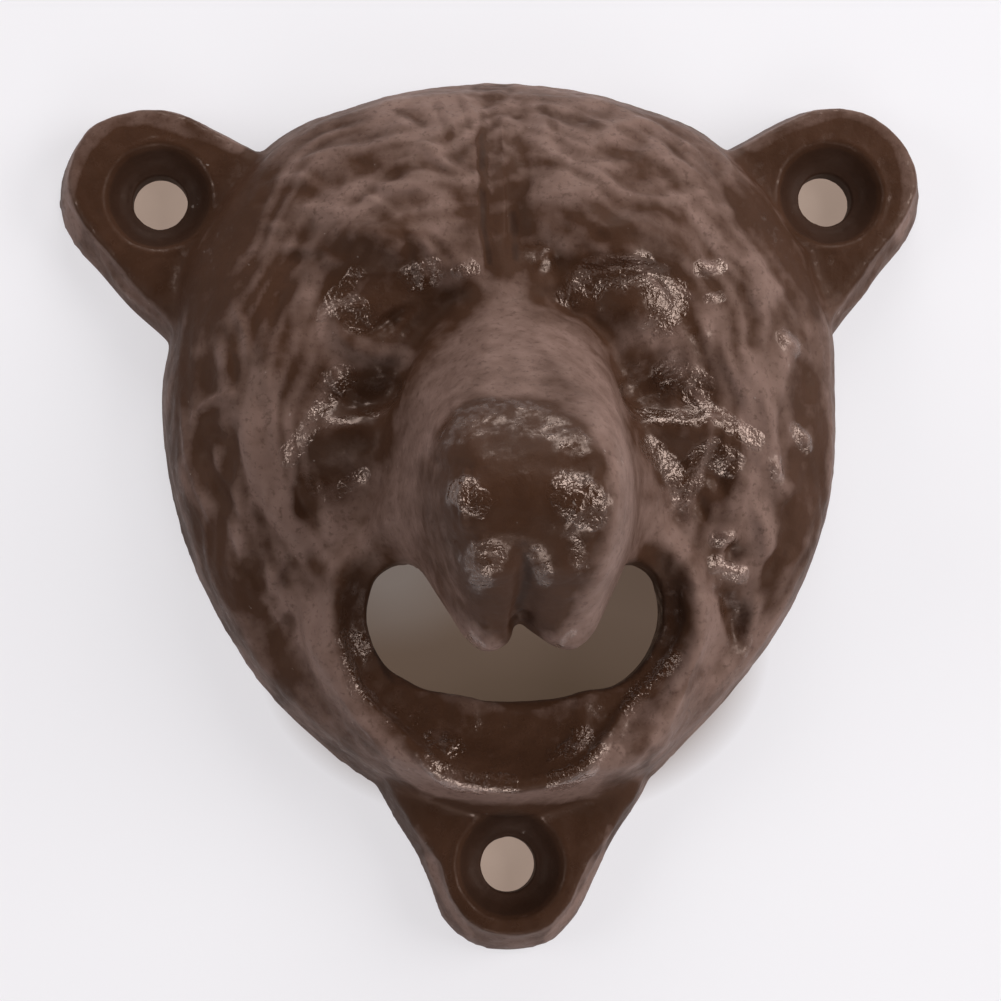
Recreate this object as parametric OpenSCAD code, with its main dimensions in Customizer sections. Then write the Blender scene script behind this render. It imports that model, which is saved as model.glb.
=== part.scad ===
// Wall-mounted bottle opener cast in iron as a bear's head.
// Wall plane y = 0, front towards -Y, +Z up; origin midway between the ear screws on the wall.

/* [Head] */
// Height of the casting from the crown to the tip of the chin
part_h = 103; // [100:0.5:106]
// Width of the head across the cheeks, without the ears
head_w = 79.5; // [72:0.5:90]
// Height of the crown above the line of the ear screws
crown_rise = 14.9; // [12:0.1:17]
// Height of the jaw's bottom above the chin screw
chin_lead = 4; // [2:0.5:6]
// Distance of the forehead from the wall
forehead_depth = 21; // [17:0.5:26]
// Height of the drafted side wall round the head
rim_h = 5; // [3:0.5:8]

/* [Mouth] */
// Width of the mouth hole
mouth_w = 33.4; // [30:0.2:37]
// Height of the lower jaw, from its bottom to the middle of the lip's edge
jaw_h = 14; // [12:0.2:16]
// Height of the gap between the lower lip's edge and the tips of the upper lip
mouth_gap = 5.1; // [4.6:0.1:7]
// Distance of the lower lip's edge from the wall
lip_edge_depth = 12.5; // [10:0.5:16]
// Height that the lip's crest stands above its edge
lip_rise = 5; // [2:0.25:7]

/* [Snout] */
// Distance of the nose from the wall
snout_reach = 47.5; // [40:0.5:56]
// Width of the snout where it leaves the face
snout_w = 25.6; // [22:0.2:28]
// Height of the nose's most forward point above the tips of the upper lip
nose_h = 15.4; // [13:0.2:18]
// Depth of the groove that sets the snout off from the face
groove_depth = 1; // [0:0.1:1.6]
// Thickness of the upper lip's edge, which rests on the cap
hood_edge = 3; // [2:0.25:5]

/* [Eyes] */
// Distance between the eyes' centres
eye_spacing = 28; // [24:0.5:32]
// Drop from the ear screws to the eyes
eye_drop = 15; // [12:0.5:18]
// Radius of the eyeball
eye_r = 3.4; // [2.5:0.1:4.5]
// Depth of the socket round the eye
socket_depth = 5; // [2:0.25:7]

/* [Fur] */
// Height of the waves of fur on the cheeks and the forehead
lock_h = 0.4; // [0:0.1:0.8]
// Distance between two waves
lock_pitch = 7.5; // [6:0.5:10]

/* [Shell] */
// Thickness of the face over the hollow back
wall = 5.5; // [4:0.25:7]
// Width of the flat land round the back
land_w = 5.5; // [4:0.5:8]
// Draft of the side walls, in degrees
draft = 12; // [4:1:18]

/* [Screw lugs] */
// Distance between the two ear screws
ear_spacing = 79; // [74:0.5:88]
// Radius of an ear at the wall
ear_r = 11.3; // [9:0.1:13]
// Distance that the middle of an ear lies outside its screw
ear_lead = 1; // [0:0.1:2]
// Radius of the chin at the wall
chin_r = 10.1; // [9:0.1:12]
// Thickness of the lugs
lug_t = 6.6; // [5:0.1:8]
// Diameter of a screw hole
screw_d = 6.4; // [4.5:0.1:7]
// Diameter of a countersink at the lug's face
sink_d = 12.4; // [10:0.1:14]

/* [Hidden] */

front_steps = 28;
back_steps = 12;
skin = 0.1;
paint = [0.26, 0.17, 0.12];

// Curve helpers: a bell, a soft step, a blend, a smoothed table, a curve through four points
function bell(v, w) = exp(-v * v / (w * w));
function ease(a, b, v) = let (q = min(1, max(0, (v - a) / (b - a)))) q * q * (3 - 2 * q);
function mix(a, b, f) = a + (b - a) * f;
function soft(v, table, r) = (lookup(v - r, table) + 2 * lookup(v, table) + lookup(v + r, table)) / 4;
function bend(a, b, c, d, f) =
    b + 0.5 * f * (c - a + f * (2 * a - 5 * b + 4 * c - d + f * (3 * (b - c) + d - a)));

// Drops from the line of the ear screws, worked out from the whole height
chin_drop = part_h - crown_rise - chin_r;
jaw_drop = chin_drop - chin_lead;
lip_drop = jaw_drop - jaw_h;
hood_drop = lip_drop - mouth_gap;
nose_drop = hood_drop - nose_h;

// Outline of the head from the middle of the jaw up the right side to the crown
cheek = head_w / 2;
outline = [
    [0, -jaw_drop], [0.23 * cheek, -0.97 * jaw_drop], [0.45 * cheek, -0.905 * jaw_drop],
    [0.665 * cheek, -0.795 * jaw_drop], [0.855 * cheek, -0.65 * jaw_drop], [0.975 * cheek, -0.475 * jaw_drop],
    [cheek, -0.27 * jaw_drop], [0.92 * cheek, -0.065 * jaw_drop], [0.66 * cheek, 0.53 * crown_rise],
    [0.39 * cheek, 0.84 * crown_rise], [0.26 * cheek, 0.93 * crown_rise], [0.17 * cheek, 0.97 * crown_rise],
    [0.09 * cheek, 0.99 * crown_rise], [0, crown_rise]
];

// Edge of the mouth, station by station with the outline: lower lip, corner, hood, tip, notch
mouth = mouth_w / 2;
lip_z = -lip_drop;
hood_z = -hood_drop;
hood_top = hood_z + 10.7;
snout = snout_w / 2;
mouth_edge = [
    [0, lip_z], [0.36 * mouth, lip_z + 0.7], [0.66 * mouth, lip_z + 1.9],
    [0.89 * mouth, lip_z + 5], [mouth, hood_z + 4.6], [0.955 * mouth, hood_top - 1.8],
    [0.87 * mouth, hood_top - 0.4], [0.79 * mouth, hood_top], [0.73 * mouth, hood_top - 0.2],
    [0.67 * mouth, hood_top - 1], [0.54 * mouth, hood_z + 5.9], [0.405 * mouth, hood_z + 1.8],
    [0.25 * mouth, hood_z], [0, hood_z + 1.6]
];
last = len(outline) - 1;
span_rays = [3, 3, 4, 4, 4, 6, 8, 8, 8, 5, 4, 4, 3];

function other_side(p) = [-p.x, p.y];
function station(list, k) = k < 0 ? other_side(list[-k]) : k > last ? other_side(list[2 * last - k]) : list[k];
function along(list, t) =
    let (k = min(floor(t), last - 1))
    bend(station(list, k - 1), station(list, k), station(list, k + 1), station(list, k + 2), t - k);

// A ray runs from the mouth's edge to a point inside the outline; beside the snout it first climbs the snout's flank
lift = [[5, 0], [6, 0.12], [7, 0.24], [8, 0.3], [9, 0.3], [10, 0.25], [13, 0.1]];
function ray(t, s, inset) =
    let (
        from = along(mouth_edge, t),
        edge = along(outline, t),
        to = edge - inset * (edge - from) / norm(edge - from),
        climb = lookup(t, lift),
        turn = (from + to) / 2 + climb * [from.x - to.x, 0.35 * (to.y - from.y)]
    )
    (1 - s) * (1 - s) * from + 2 * s * (1 - s) * turn + s * s * to;

// Side profiles: table of height and distance from the wall
nasion_z = -eye_drop - 0.5;
nose_z = -nose_drop;
function face_z(f) = mix(lip_z, -eye_drop, f);
function face_y(f) = mix(lip_edge_depth, forehead_depth, f);
face_line = [
    [-jaw_drop, lip_edge_depth - 1], [lip_z, lip_edge_depth], [face_z(0.29), face_y(0.35)],
    [face_z(0.62), face_y(0.7)], [-eye_drop, forehead_depth], [0, forehead_depth - 0.5],
    [crown_rise, forehead_depth - 4]
];
bridge_line = [
    [hood_z - 2, snout_reach - 17], [hood_z + 2, snout_reach - 12.5], [hood_z + 5, snout_reach - 8],
    [hood_z + 8, snout_reach - 3.5], [nose_z - 3, snout_reach - 0.8], [nose_z, snout_reach],
    [nose_z + 4, snout_reach - 1.2], [nose_z + 8.5, snout_reach - 4.8], [nose_z + 9.5, snout_reach - 6.6],
    [nasion_z - 8, forehead_depth + 12], [nasion_z - 3, forehead_depth + 4.5], [nasion_z + 1, forehead_depth - 1],
    [nasion_z + 7, 0]
];
hood_line = [[hood_z, snout_reach - 17], [hood_z + 3, snout_reach - 18.5], [hood_top, snout_reach - 27]];
snout_side = [
    [hood_z - 1.5, 0.48 * snout], [hood_z + 0.6, 0.53 * snout], [hood_z + 1.8, 0.58 * snout],
    [hood_z + 5.9, 0.75 * snout], [hood_top - 0.9, 0.92 * snout], [nose_z - 1, snout], [nose_z + 5, snout],
    [nose_z + 9.5, 0.94 * snout], [nasion_z - 9, 0.79 * snout], [nasion_z - 4, 0.57 * snout],
    [nasion_z, 0.3 * snout]
];

function hooded(z) = 1 - ease(hood_top - 3, hood_top + 1.5, z);
function round_over(s, sharp) = sqrt(max(0, 1 - pow(s, sharp)));

// Heights and widths of the cheeks' forms, and the distance of the first clear wave of fur from the outline
cheekbone_h = 1.6;
cheekbone_w = 15;
hollow_h = 2.2;
hollow_w = 6.5;
first_lock = 9.5;

// Skull, jaw and cheeks, falling to the rim at the end of each ray
function skull(x, z) = soft(z, face_line, 4) - 0.0042 * x * x;
function groove(x, z) = -2 * bell(x, 2) * ease(nasion_z + 3, nasion_z + 9, z);
function forehead(a, z) = 1.4 * bell(a - 9, 7) * bell(z - 0.5, 9);
function brow(ex, ez) = 2.6 * bell(ex + 1, 7.5) * bell(ez - 7.2 + 0.045 * ex * ex, 3);
function socket(ex, ez) = -socket_depth * bell(ex + 0.5, 8) * bell(ez - 0.2, 5.2);
function eyeball(ex, ez) = (socket_depth - 0.8) * bell(ex - 0.3, 1.45 * eye_r) * bell(ez, eye_r);
function under_eye(ex, ez) = -2.2 * bell(ex - 2.5, 5.5) * bell(ez + 9.6, 3.1);
function eye_bag(ex, ez) = 1.4 * bell(ex - 5.5, 5) * bell(ez + 14, 2.6);
function cheekbone(a, z) =
    cheekbone_h * bell(a - 0.7 * cheek, 0.125 * cheek) * bell(z - face_z(0.71), cheekbone_w);
function cheek_hollow(a, z) =
    -hollow_h * bell(a - 0.665 * cheek, 0.115 * cheek) * bell(z - face_z(0.155), hollow_w);
function snout_groove(a, z) =
    -groove_depth * bell(a - 1.2 * soft(z, snout_side, 2.5) - 1, 2.6)
        * ease(nose_z - 6, nose_z + 2, z) * (1 - ease(nasion_z - 2, nasion_z + 3, z));
function features(x, z) =
    let (
        a = abs(x),
        ex = a - eye_spacing / 2,
        ez = z + eye_drop
    )
    groove(x, z) + forehead(a, z) + brow(ex, ez) + socket(ex, ez) + eyeball(ex, ez)
        + under_eye(ex, ez) + eye_bag(ex, ez) + cheekbone(a, z) + cheek_hollow(a, z) + snout_groove(a, z);

// Fur: waves that follow the outline, counted by their distance from it
function fur(t, out) =
    lock_h * cos(360 * (out - first_lock) / lock_pitch + 70 * sin(230 * t))
        * ease(2.5, 7, out) * (1 - ease(15, 21, out)) * ease(3.8, 4.8, t);

// Lower lip: a smooth band that rises to a crest, widest under the middle of the mouth
lip_band = [[0, 9.8], [2, 8.6], [3, 6], [4, 4.3], [5, 3.8], [7, 2.4]];
function lip(t, r) =
    let (w = lookup(t, lip_band))
    lip_rise * (1 - 0.9 * ease(2, 7.5, t)) * (r < w ? bell(r - w, 0.55 * w) : bell(r - w, 1.9));

function head_front(x, z, t, s) =
    let (
        reach = norm(along(outline, t) - along(mouth_edge, t)),
        form = features(x, z) * ease(2, 4, t) + fur(t, (1 - s) * reach)
    )
    mix(rim_h, skull(x, z) + form, round_over(s, 5)) + lip(t, s * reach) * round_over(s, 12);

// Snout: a hooded muzzle with the nose pad and the groove between the upper lips
function steepness(z) = mix(10, 4, ease(nose_z + 3, nasion_z - 4, z));
function flank(u, steep) = 1 / (1 + pow(u / 0.92, steep));
function lip_groove(x, z) = -1.6 * bell(x, 1.5) * (1 - ease(hood_z + 3, nose_z - 3, z));
function bridge(x, z) =
    let (u = min(1, abs(x) / snout))
    soft(z, bridge_line, 1) * (1 - 0.03 * u * u) + lip_groove(x, z);
function snout_front(x, z, foot) =
    foot + max(0, bridge(x, z) - foot) * flank(abs(x) / soft(z, snout_side, 1.5), steepness(z));

// The upper lip's edge stands at the hood line, where the flank has fallen to its value at the snout's side
edge_share = flank(1, steepness(hood_z));
function front_depth(x, z, t, s) =
    let (
        head = head_front(x, z, t, s),
        lip_foot = (soft(z, hood_line, 0.5) - edge_share * bridge(x, z)) / (1 - edge_share),
        foot = mix(head, lip_foot, hooded(z) * ease(7.8, 9, t))
    )
    t < 5 ? head : snout_front(x, z, foot);

// Hollow back: a plain core that follows the skull and the snout one wall behind them
core_steep = 5;
function back_depth(x, z, t, s) =
    let (
        head = max(0, skull(x, z) - wall) * round_over(s, 3),
        lip_back = max(0, soft(z, hood_line, 0.5) - hood_edge),
        foot = mix(head, lip_back, hooded(z) * ease(7.8, 9, t)),
        u = abs(x) / max(1, soft(z, snout_side, 3) - 0.6 * wall),
        top = soft(z, bridge_line, 4) - 1.25 * wall
    )
    t < 5 ? head : foot + max(0, top - foot) * flank(1.08 * u, core_steep);

function at(p, depth) = [p.x, -depth, p.y];

// Closed section along one ray: face, side wall, land, hollow back
rim_in = rim_h * tan(draft);
function face_point(t, s) = let (p = ray(t, s, rim_in)) at(p, front_depth(p.x, p.y, t, s));
function back_point(t, s) = let (p = ray(t, s, land_w)) at(p, back_depth(p.x, p.y, t, s));
function section(t) =
    concat(
        [for (j = [0 : front_steps]) face_point(t, pow(j / front_steps, 1.2))],
        [at(ray(t, 1, 0), 0)],
        [for (j = [back_steps : -1 : 0]) back_point(t, j / back_steps)]
    );

ray_places = concat([for (k = [0 : last - 1]) for (i = [0 : span_rays[k] - 1]) k + i / span_rays[k]], [last]);
half_rays = len(ray_places) - 1;
rays = 2 * half_rays;
right_sections = [for (t = ray_places) section(t)];
sections = concat(
    right_sections,
    [for (i = [half_rays - 1 : -1 : 1]) [for (p = right_sections[i]) [-p.x, p.y, p.z]]]
);
ring = len(sections[0]);

skin_points = [for (row = sections) each row];

// Each cell of the skin is split along its shorter diagonal
function cell(a, b, c, d) =
    norm(skin_points[a] - skin_points[c]) < norm(skin_points[b] - skin_points[d])
        ? [[a, c, b], [a, d, c]]
        : [[a, d, b], [b, d, c]];

module head() {
    polyhedron(
        points = skin_points,
        faces = [
            for (i = [0 : rays - 1])
                for (j = [0 : ring - 1])
                    let (
                        next_i = (i + 1) % rays,
                        next_j = (j + 1) % ring
                    )
                    each cell(i * ring + j, i * ring + next_j, next_i * ring + next_j, next_i * ring + j)
        ]
    );
}

// Lugs: drafted pads whose roots run into the rim of the head
lug_in = lug_t * tan(draft);
module drafted_disc(p, r) {
    translate([p.x, 0, p.y])
        rotate([90, 0, 0])
            cylinder(h = lug_t, r1 = r, r2 = r - lug_in, $fn = 40);
}

ear = [ear_spacing / 2, 0];
chin = [0, -chin_drop];
ear_pad = ear + ear_lead * [0.85, 0.5];
root_r = 3;
function rooted(t) = ray(t, 1, root_r);

module ear_lug() {
    hull() {
        drafted_disc(ear_pad, ear_r);
        drafted_disc(rooted(7.8), root_r);
        drafted_disc(rooted(6.5), root_r);
    }
}

module chin_lug() {
    hull() {
        drafted_disc(chin, chin_r);
        drafted_disc(rooted(1.6), root_r);
        drafted_disc(other_side(rooted(1.6)), root_r);
    }
}

module screw_hole(p) {
    sink_h = (sink_d - screw_d) / 2;
    translate([p.x, 0, p.y])
        rotate([90, 0, 0]) {
            translate([0, 0, -skin])
                cylinder(h = lug_t + 2 * skin, d = screw_d, $fn = 48);
            translate([0, 0, lug_t - sink_h])
                cylinder(h = sink_h + skin, d1 = screw_d, d2 = sink_d + 2 * skin, $fn = 48);
        }
}

module bear_head_casting() {
    color(paint)
        difference() {
            union() {
                head();
                ear_lug();
                mirror([1, 0, 0])
                    ear_lug();
                chin_lug();
            }
            screw_hole(ear);
            screw_hole(other_side(ear));
            screw_hole(chin);
        }
}

bear_head_casting();
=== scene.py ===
# %% [markdown]
# # A bear's head cast in iron, for a wall
# The opener is one casting: skull, face, hooded snout, lower lip and three screw lugs were poured in one go
# and dipped in thick brown paint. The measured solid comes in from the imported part, and this lesson sculpts
# the fur, folds, nose and lips into a fine copy of it, then paints and lights it.

# %% Load the measured part
import math
import bpy
import numpy as np
from mathutils import Matrix, Vector, noise


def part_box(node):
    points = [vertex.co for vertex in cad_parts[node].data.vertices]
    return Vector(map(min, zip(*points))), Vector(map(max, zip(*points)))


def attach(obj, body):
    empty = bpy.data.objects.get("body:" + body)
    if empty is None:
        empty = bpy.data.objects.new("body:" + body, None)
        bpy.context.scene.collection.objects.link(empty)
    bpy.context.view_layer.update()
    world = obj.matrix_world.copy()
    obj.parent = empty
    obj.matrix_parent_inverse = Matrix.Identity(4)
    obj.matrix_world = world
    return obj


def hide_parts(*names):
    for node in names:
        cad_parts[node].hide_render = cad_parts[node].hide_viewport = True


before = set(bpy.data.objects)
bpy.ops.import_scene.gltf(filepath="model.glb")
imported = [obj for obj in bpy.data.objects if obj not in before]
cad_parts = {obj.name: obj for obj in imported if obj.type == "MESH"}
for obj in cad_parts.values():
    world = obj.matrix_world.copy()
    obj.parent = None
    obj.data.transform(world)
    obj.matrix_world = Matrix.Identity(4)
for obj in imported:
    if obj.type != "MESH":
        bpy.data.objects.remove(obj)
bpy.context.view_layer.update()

MM = 0.001
casting_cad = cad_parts["bear_head_casting"]
low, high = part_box("bear_head_casting")
print("casting measures", [round((high[i] - low[i]) / MM, 1) for i in range(3)], "mm")

# %% [markdown]
# ## Camera
# The picture was taken close by, almost square to the face, from a little below and a little to the left. A
# camera can be turned with angles, but a matrix built from its own right, up and back directions is easier
# to check: the three directions are simply its columns.

# %% Camera in front of the face
turn, rise, roll = math.radians(-4.2), math.radians(-6.0), math.radians(-1.1)
camera_distance = 318.7 * MM
look_at = Vector((-0.94, -15.0, -36.9)) * MM
back = Vector((math.sin(turn) * math.cos(rise), -math.cos(turn) * math.cos(rise), math.sin(rise)))
level = (-back).cross(Vector((0, 0, 1))).normalized()
above = level.cross(-back)
right = level * math.cos(roll) + above * math.sin(roll)
up = above * math.cos(roll) - level * math.sin(roll)
eye = look_at + back * camera_distance

camera_data = bpy.data.cameras.new("portrait_camera")
camera_data.sensor_width = 36
camera_data.lens = 101.4
camera_data.clip_start = 0.01
camera = bpy.data.objects.new("portrait_camera", camera_data)
bpy.context.scene.collection.objects.link(camera)
camera.matrix_world = Matrix((
    (right.x, up.x, back.x, eye.x),
    (right.y, up.y, back.y, eye.y),
    (right.z, up.z, back.z, eye.z),
    (0, 0, 0, 1)))
bpy.context.scene.camera = camera
print("camera stands", round(eye.length / MM), "mm from the origin")

# %% [markdown]
# ## A fine copy to sculpt
# The measured solid has the right size but only coarse facets. A sculptor would now add clay; here a copy
# is merged, scaled to millimetres, and remade in even small squares by a voxel Remesh. Smooth modifiers
# then take the facets off, each held by a vertex group: much on the head, little on the screw lugs, none on
# the flat back. Lengths stay in millimetres until the back is thinned, and a ramp rises smoothly from 0 to
# 1 between two of them.

# %% Copy, merge and remesh
clay_square, merge_gap = 0.43, 0.002
bpy.ops.object.select_all(action="DESELECT")
casting = bpy.data.objects.new("bear_head", casting_cad.data.copy())
bpy.context.scene.collection.objects.link(casting)
bpy.context.view_layer.objects.active = casting
casting.select_set(True)
casting.data.materials.clear()
casting.data.transform(Matrix.Scale(1 / MM, 4))
bpy.ops.object.mode_set(mode="EDIT")
bpy.ops.mesh.select_all(action="SELECT")
bpy.ops.mesh.remove_doubles(threshold=merge_gap)
bpy.ops.object.mode_set(mode="OBJECT")

remesh = casting.modifiers.new("clay", "REMESH")
remesh.mode = "VOXEL"
remesh.voxel_size = clay_square
bpy.ops.object.modifier_apply(modifier="clay")
print("clay has", len(casting.data.vertices), "points")

# %% Where each point lies
SCREWS = [(-39.5, 0.0), (39.5, 0.0), (0.0, -78.0)]

def per_point(what):
    flat = np.empty(len(casting.data.vertices) * 3, np.float32)
    casting.data.vertices.foreach_get(what, flat)
    return flat.reshape(-1, 3).astype(float)

def set_points(points):
    casting.data.vertices.foreach_set("co", points.astype(np.float32).ravel())
    casting.data.update()

def ramp(low_end, high_end, value):
    q = np.clip((value - low_end) / (high_end - low_end), 0, 1)
    return q * q * (3 - 2 * q)

def from_screws(points):
    return np.min([np.hypot(points[:, 0] - x, points[:, 2] - z) for x, z in SCREWS], axis=0)

def smooth_with(group_name, weights, factor, repeats):
    group = casting.vertex_groups.new(name=group_name)
    for share in np.unique(np.round(weights, 1)):
        group.add(np.flatnonzero(np.round(weights, 1) == share).tolist(), float(share), "REPLACE")
    modifier = casting.modifiers.new(group_name, "SMOOTH")
    modifier.factor = factor
    modifier.iterations = repeats
    modifier.vertex_group = group_name
    bpy.ops.object.modifier_apply(modifier=group_name)
    casting.vertex_groups.remove(casting.vertex_groups[group_name])

# %% Take the facets off
clay = per_point("co")
off_wall = ramp(0.2, 1.5, -clay[:, 1])
off_lug_faces = ramp(6.5, 9.0, from_screws(clay))
head_share = off_lug_faces * off_wall
smooth_with("off_facets", head_share, factor=0.5, repeats=9)
smooth_with("soft_edges", off_wall * (1 - head_share), factor=0.5, repeats=2)
at_wall = 1 - ramp(0.5, 1.0, -per_point("co")[:, 1])
on_rim_side = np.abs(per_point("normal")[:, 1]) < 0.97
smooth_with("even_rim", at_wall * on_rim_side, factor=0.5, repeats=6)
print("facets smoothed over", int((head_share > 0.5).sum()), "points")

# %% [markdown]
# ## Roots of the lugs
# Where a lug grows out of the head, the pattern maker left a soft fillet. A Bevel can't follow such a free
# edge, so the inward half of a ring round each screw is smoothed many times.

# %% Soft roots
middle_of_head = -33.0
clay = per_point("co")
at_root = np.zeros(len(clay))
for x, z in SCREWS:
    inwards = np.array((-x, middle_of_head - z)) / math.hypot(x, middle_of_head - z)
    along = (clay[:, 0] - x) * inwards[0] + (clay[:, 2] - z) * inwards[1]
    off_axis = np.hypot(clay[:, 0] - x, clay[:, 2] - z)
    ring = ramp(6.4, 7.4, off_axis) * (1 - ramp(16, 20, off_axis))
    at_root = np.maximum(at_root, ramp(1.0, 4.0, along) * ring)
faces_front = ramp(0.2, 0.5, -per_point("normal")[:, 1])
smooth_with("soft_roots", at_root * faces_front, factor=0.5, repeats=30)
print("roots softened over", int((at_root > 0.5).sum()), "points")

# %% [markdown]
# ## An uneven casting
# The measured solid is a mirror image of itself, and the real one isn't: a hand-made pattern and rough
# fettling leave edges up to a millimetre or so off. A sculptor would take the Grab brush. Here each nudge
# is one such grab: a radius, how far to the right and up it pulls, and the spot where it takes hold.

# %% Nudges
nudges = [
    # whole mouth
    (20.5, 0.8, 0, -1.5, -51),
    # edge of the lower lip
    (6.5, 0, 0.5, 0.5, -60),
    (2.4, 0, 0.5, -8, -58.5),
    (2.4, 0, 0.45, 8.5, -59.5),
    # notch between the upper lips
    (1.5, -0.9, 1.5, -0.5, -53),
    # left side of the chin lug
    (6.5, 1.1, 0, -12, -78.5),
    # cheeks
    (21.6, 0.9, 0, 36, -39.5),
    (17.3, 0.35, 0, -39, -40.5),
    # right root of the chin lug
    (4.9, 1.3, 0, 15, -69.5),
    # ears, and the corners below them
    (5.9, 0.6, 0.5, -48.5, -7),
    (5.9, -0.6, 0.5, 48.5, -7),
    (3.9, 0.6, 0, -40, -16),
    (3.9, 0.6, 0, 38, -17.5),
    # left end of the mouth
    (2.4, 0, 0.5, -12.5, -58),
    (3.2, 0, 0.4, -11.5, -44.5),
    # tops of the ears
    (3.2, -0.4, 0.3, -47, 8),
    (3.2, 0.5, 0.4, 43, 5.5),
    # tip of the chin, left jaw
    (2.6, 0.6, 0, 4, -87),
    (6.5, -0.4, 0, -27.5, -59),
]
clay = per_point("co")
shift = np.zeros_like(clay)
for radius, to_right, upwards, x, z in nudges:
    gap2 = (clay[:, 0] - x) ** 2 + (clay[:, 2] - z) ** 2
    shift += np.exp(-gap2 / radius ** 2)[:, None] * np.array((to_right, 0, upwards))
off_sinks = ramp(6.0, 8.0, from_screws(clay))
clay += shift * off_sinks[:, None]
print("largest nudge", round(float(np.abs(shift).max()), 2), "mm")

# %% [markdown]
# ## Countersinks and draft
# The countersinks look more like bowls than cones, and the lugs' sides lean, so that the pattern could be
# drawn from the sand. Both are small moves of the same points: the bowl sinks most halfway up its slope,
# and the lugs narrow towards the front, below the ears' middle only.

# %% Steep countersinks and drafted lugs
hole_radius, slope_width, bowl_depth = 3.25, 3.0, 0.85
draft, lug_reach = 0.7, 20
FACE_HALF_WIDE, FACE_HALF_HIGH, FACE_MIDDLE = 39, 44, -31
off_axis = from_screws(clay)
across_sink = np.clip((off_axis - hole_radius) / slope_width, 0, 1)
off_back = clay[:, 1] < -2.5
clay[:, 1] += bowl_depth * 4 * across_sink * (1 - across_sink) * off_back

def out_from_middle(x, z):
    return np.hypot(x / FACE_HALF_WIDE, (z - FACE_MIDDLE) / FACE_HALF_HIGH)

towards_front, off_countersink = ramp(1.5, 6.0, -clay[:, 1]), ramp(7.0, 9.0, off_axis)
outside_face = ramp(1.0, 1.1, out_from_middle(clay[:, 0], clay[:, 2]))
below_ears = 1 - ramp(-3.0, 3.0, clay[:, 2])
drafted = draft * towards_front * off_countersink
drafted *= outside_face * below_ears
for x, z in SCREWS:
    to_axis = np.stack([x - clay[:, 0], 0 * off_axis, z - clay[:, 2]], axis=1)
    far = np.linalg.norm(to_axis, axis=1)
    clay += to_axis * ((far < lug_reach) * drafted / np.maximum(far, 1))[:, None]
set_points(clay)
print("lug sides lean in by up to", round(float(drafted.max()), 2), "mm")

# %% [markdown]
# ## Sculpting tools
# By hand one would drag a brush along each fold. The same brush is a short function: it takes a half width,
# a height and a path across the face in millimetres (x to the right, z up), and lifts or sinks every front
# point near the path along its own normal, tapering at both ends. All strokes add up in one relief before
# any point moves. A ledge lifts one side of its path and sinks the other. The paths were traced by hand on
# the picture, in pixels, and a separate script turned them into millimetres through the fitted camera.

# %% Smooth path through a few points
facing = per_point("normal")
front = ramp(-0.15, 0.35, -facing[:, 1])
across, height_on_face = clay[:, 0], clay[:, 2]
relief = np.zeros(len(clay))

def path_points(path, step=0.4):
    path = np.array(path, float)
    ends = np.vstack([2 * path[0] - path[1], path, 2 * path[-1] - path[-2]])
    line = []
    for a, b, c, d in zip(ends, ends[1:], ends[2:], ends[3:]):
        for f in np.arange(0, 1, step / max(step, np.linalg.norm(c - b))):
            line.append(b + 0.5 * f * (c - a + f * (2 * a - 5 * b + 4 * c - d + f * (3 * (b - c) + d - a))))
    return np.array(line + [path[-1]])

def points_near(line, reach):
    lo, hi = line.min(0) - reach, line.max(0) + reach
    return np.flatnonzero((across > lo[0]) & (across < hi[0]) & (height_on_face > lo[1])
                          & (height_on_face < hi[1]) & (front > 0))

def gaps_to(line, near):
    return (across[near, None] - line[:, 0]) ** 2 + (height_on_face[near, None] - line[:, 1]) ** 2

# %% Brush, ledge and dome
def swelling(nearest, line, end, power):
    return np.sin(np.pi * np.clip(nearest / (len(line) - 1), end, 1 - end)) ** power

def brush(strokes, onto=None, wider=1.0):
    onto = relief if onto is None else onto
    for half_width, height, *path in strokes:
        half_width = wider * half_width
        line = path_points(path)
        near = points_near(line, 2.6 * half_width)
        gaps = gaps_to(line, near)
        swell = swelling(gaps.argmin(1), line, end=0.04, power=0.6)
        wide = half_width * (0.5 + 0.5 * swell)
        onto[near] += height * swell * np.exp(-gaps.min(1) / wide ** 2)

def ledge(half_width, height, *path):
    line = path_points(path)
    along = np.gradient(line, axis=0)
    along /= np.linalg.norm(along, axis=1)[:, None]
    near = points_near(line, 9 * half_width)
    apart = np.stack([across[near], height_on_face[near]], axis=1)[:, None] - line
    nearest = (apart ** 2).sum(2).argmin(1)
    gap, way = apart[np.arange(len(near)), nearest], along[nearest]
    to_left = way[:, 0] * gap[:, 1] - way[:, 1] * gap[:, 0]
    fade = np.exp(-(gap ** 2).sum(1) / (3.5 * half_width) ** 2)
    swell = swelling(nearest, line, end=0.02, power=0.5)
    relief[near] += height * swell * np.tanh(to_left / half_width) * fade

def dome(x, z, half_across, half_high, height):
    r2 = ((across - x) / half_across) ** 2 + ((height_on_face - z) / half_high) ** 2
    relief[:] += height * np.clip(1 - r2, 0, 1) ** 1.8 * (front > 0)

# %% [markdown]
# ## Eyes
# The eyes are nearly lost in folds: a heavy brow roll, lids, a bag below and a sharp crease under the bag.
# Only the right one still shows a ball, which is a dome. The two sides were carved by hand and differ, so
# each side has its own strokes.

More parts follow.
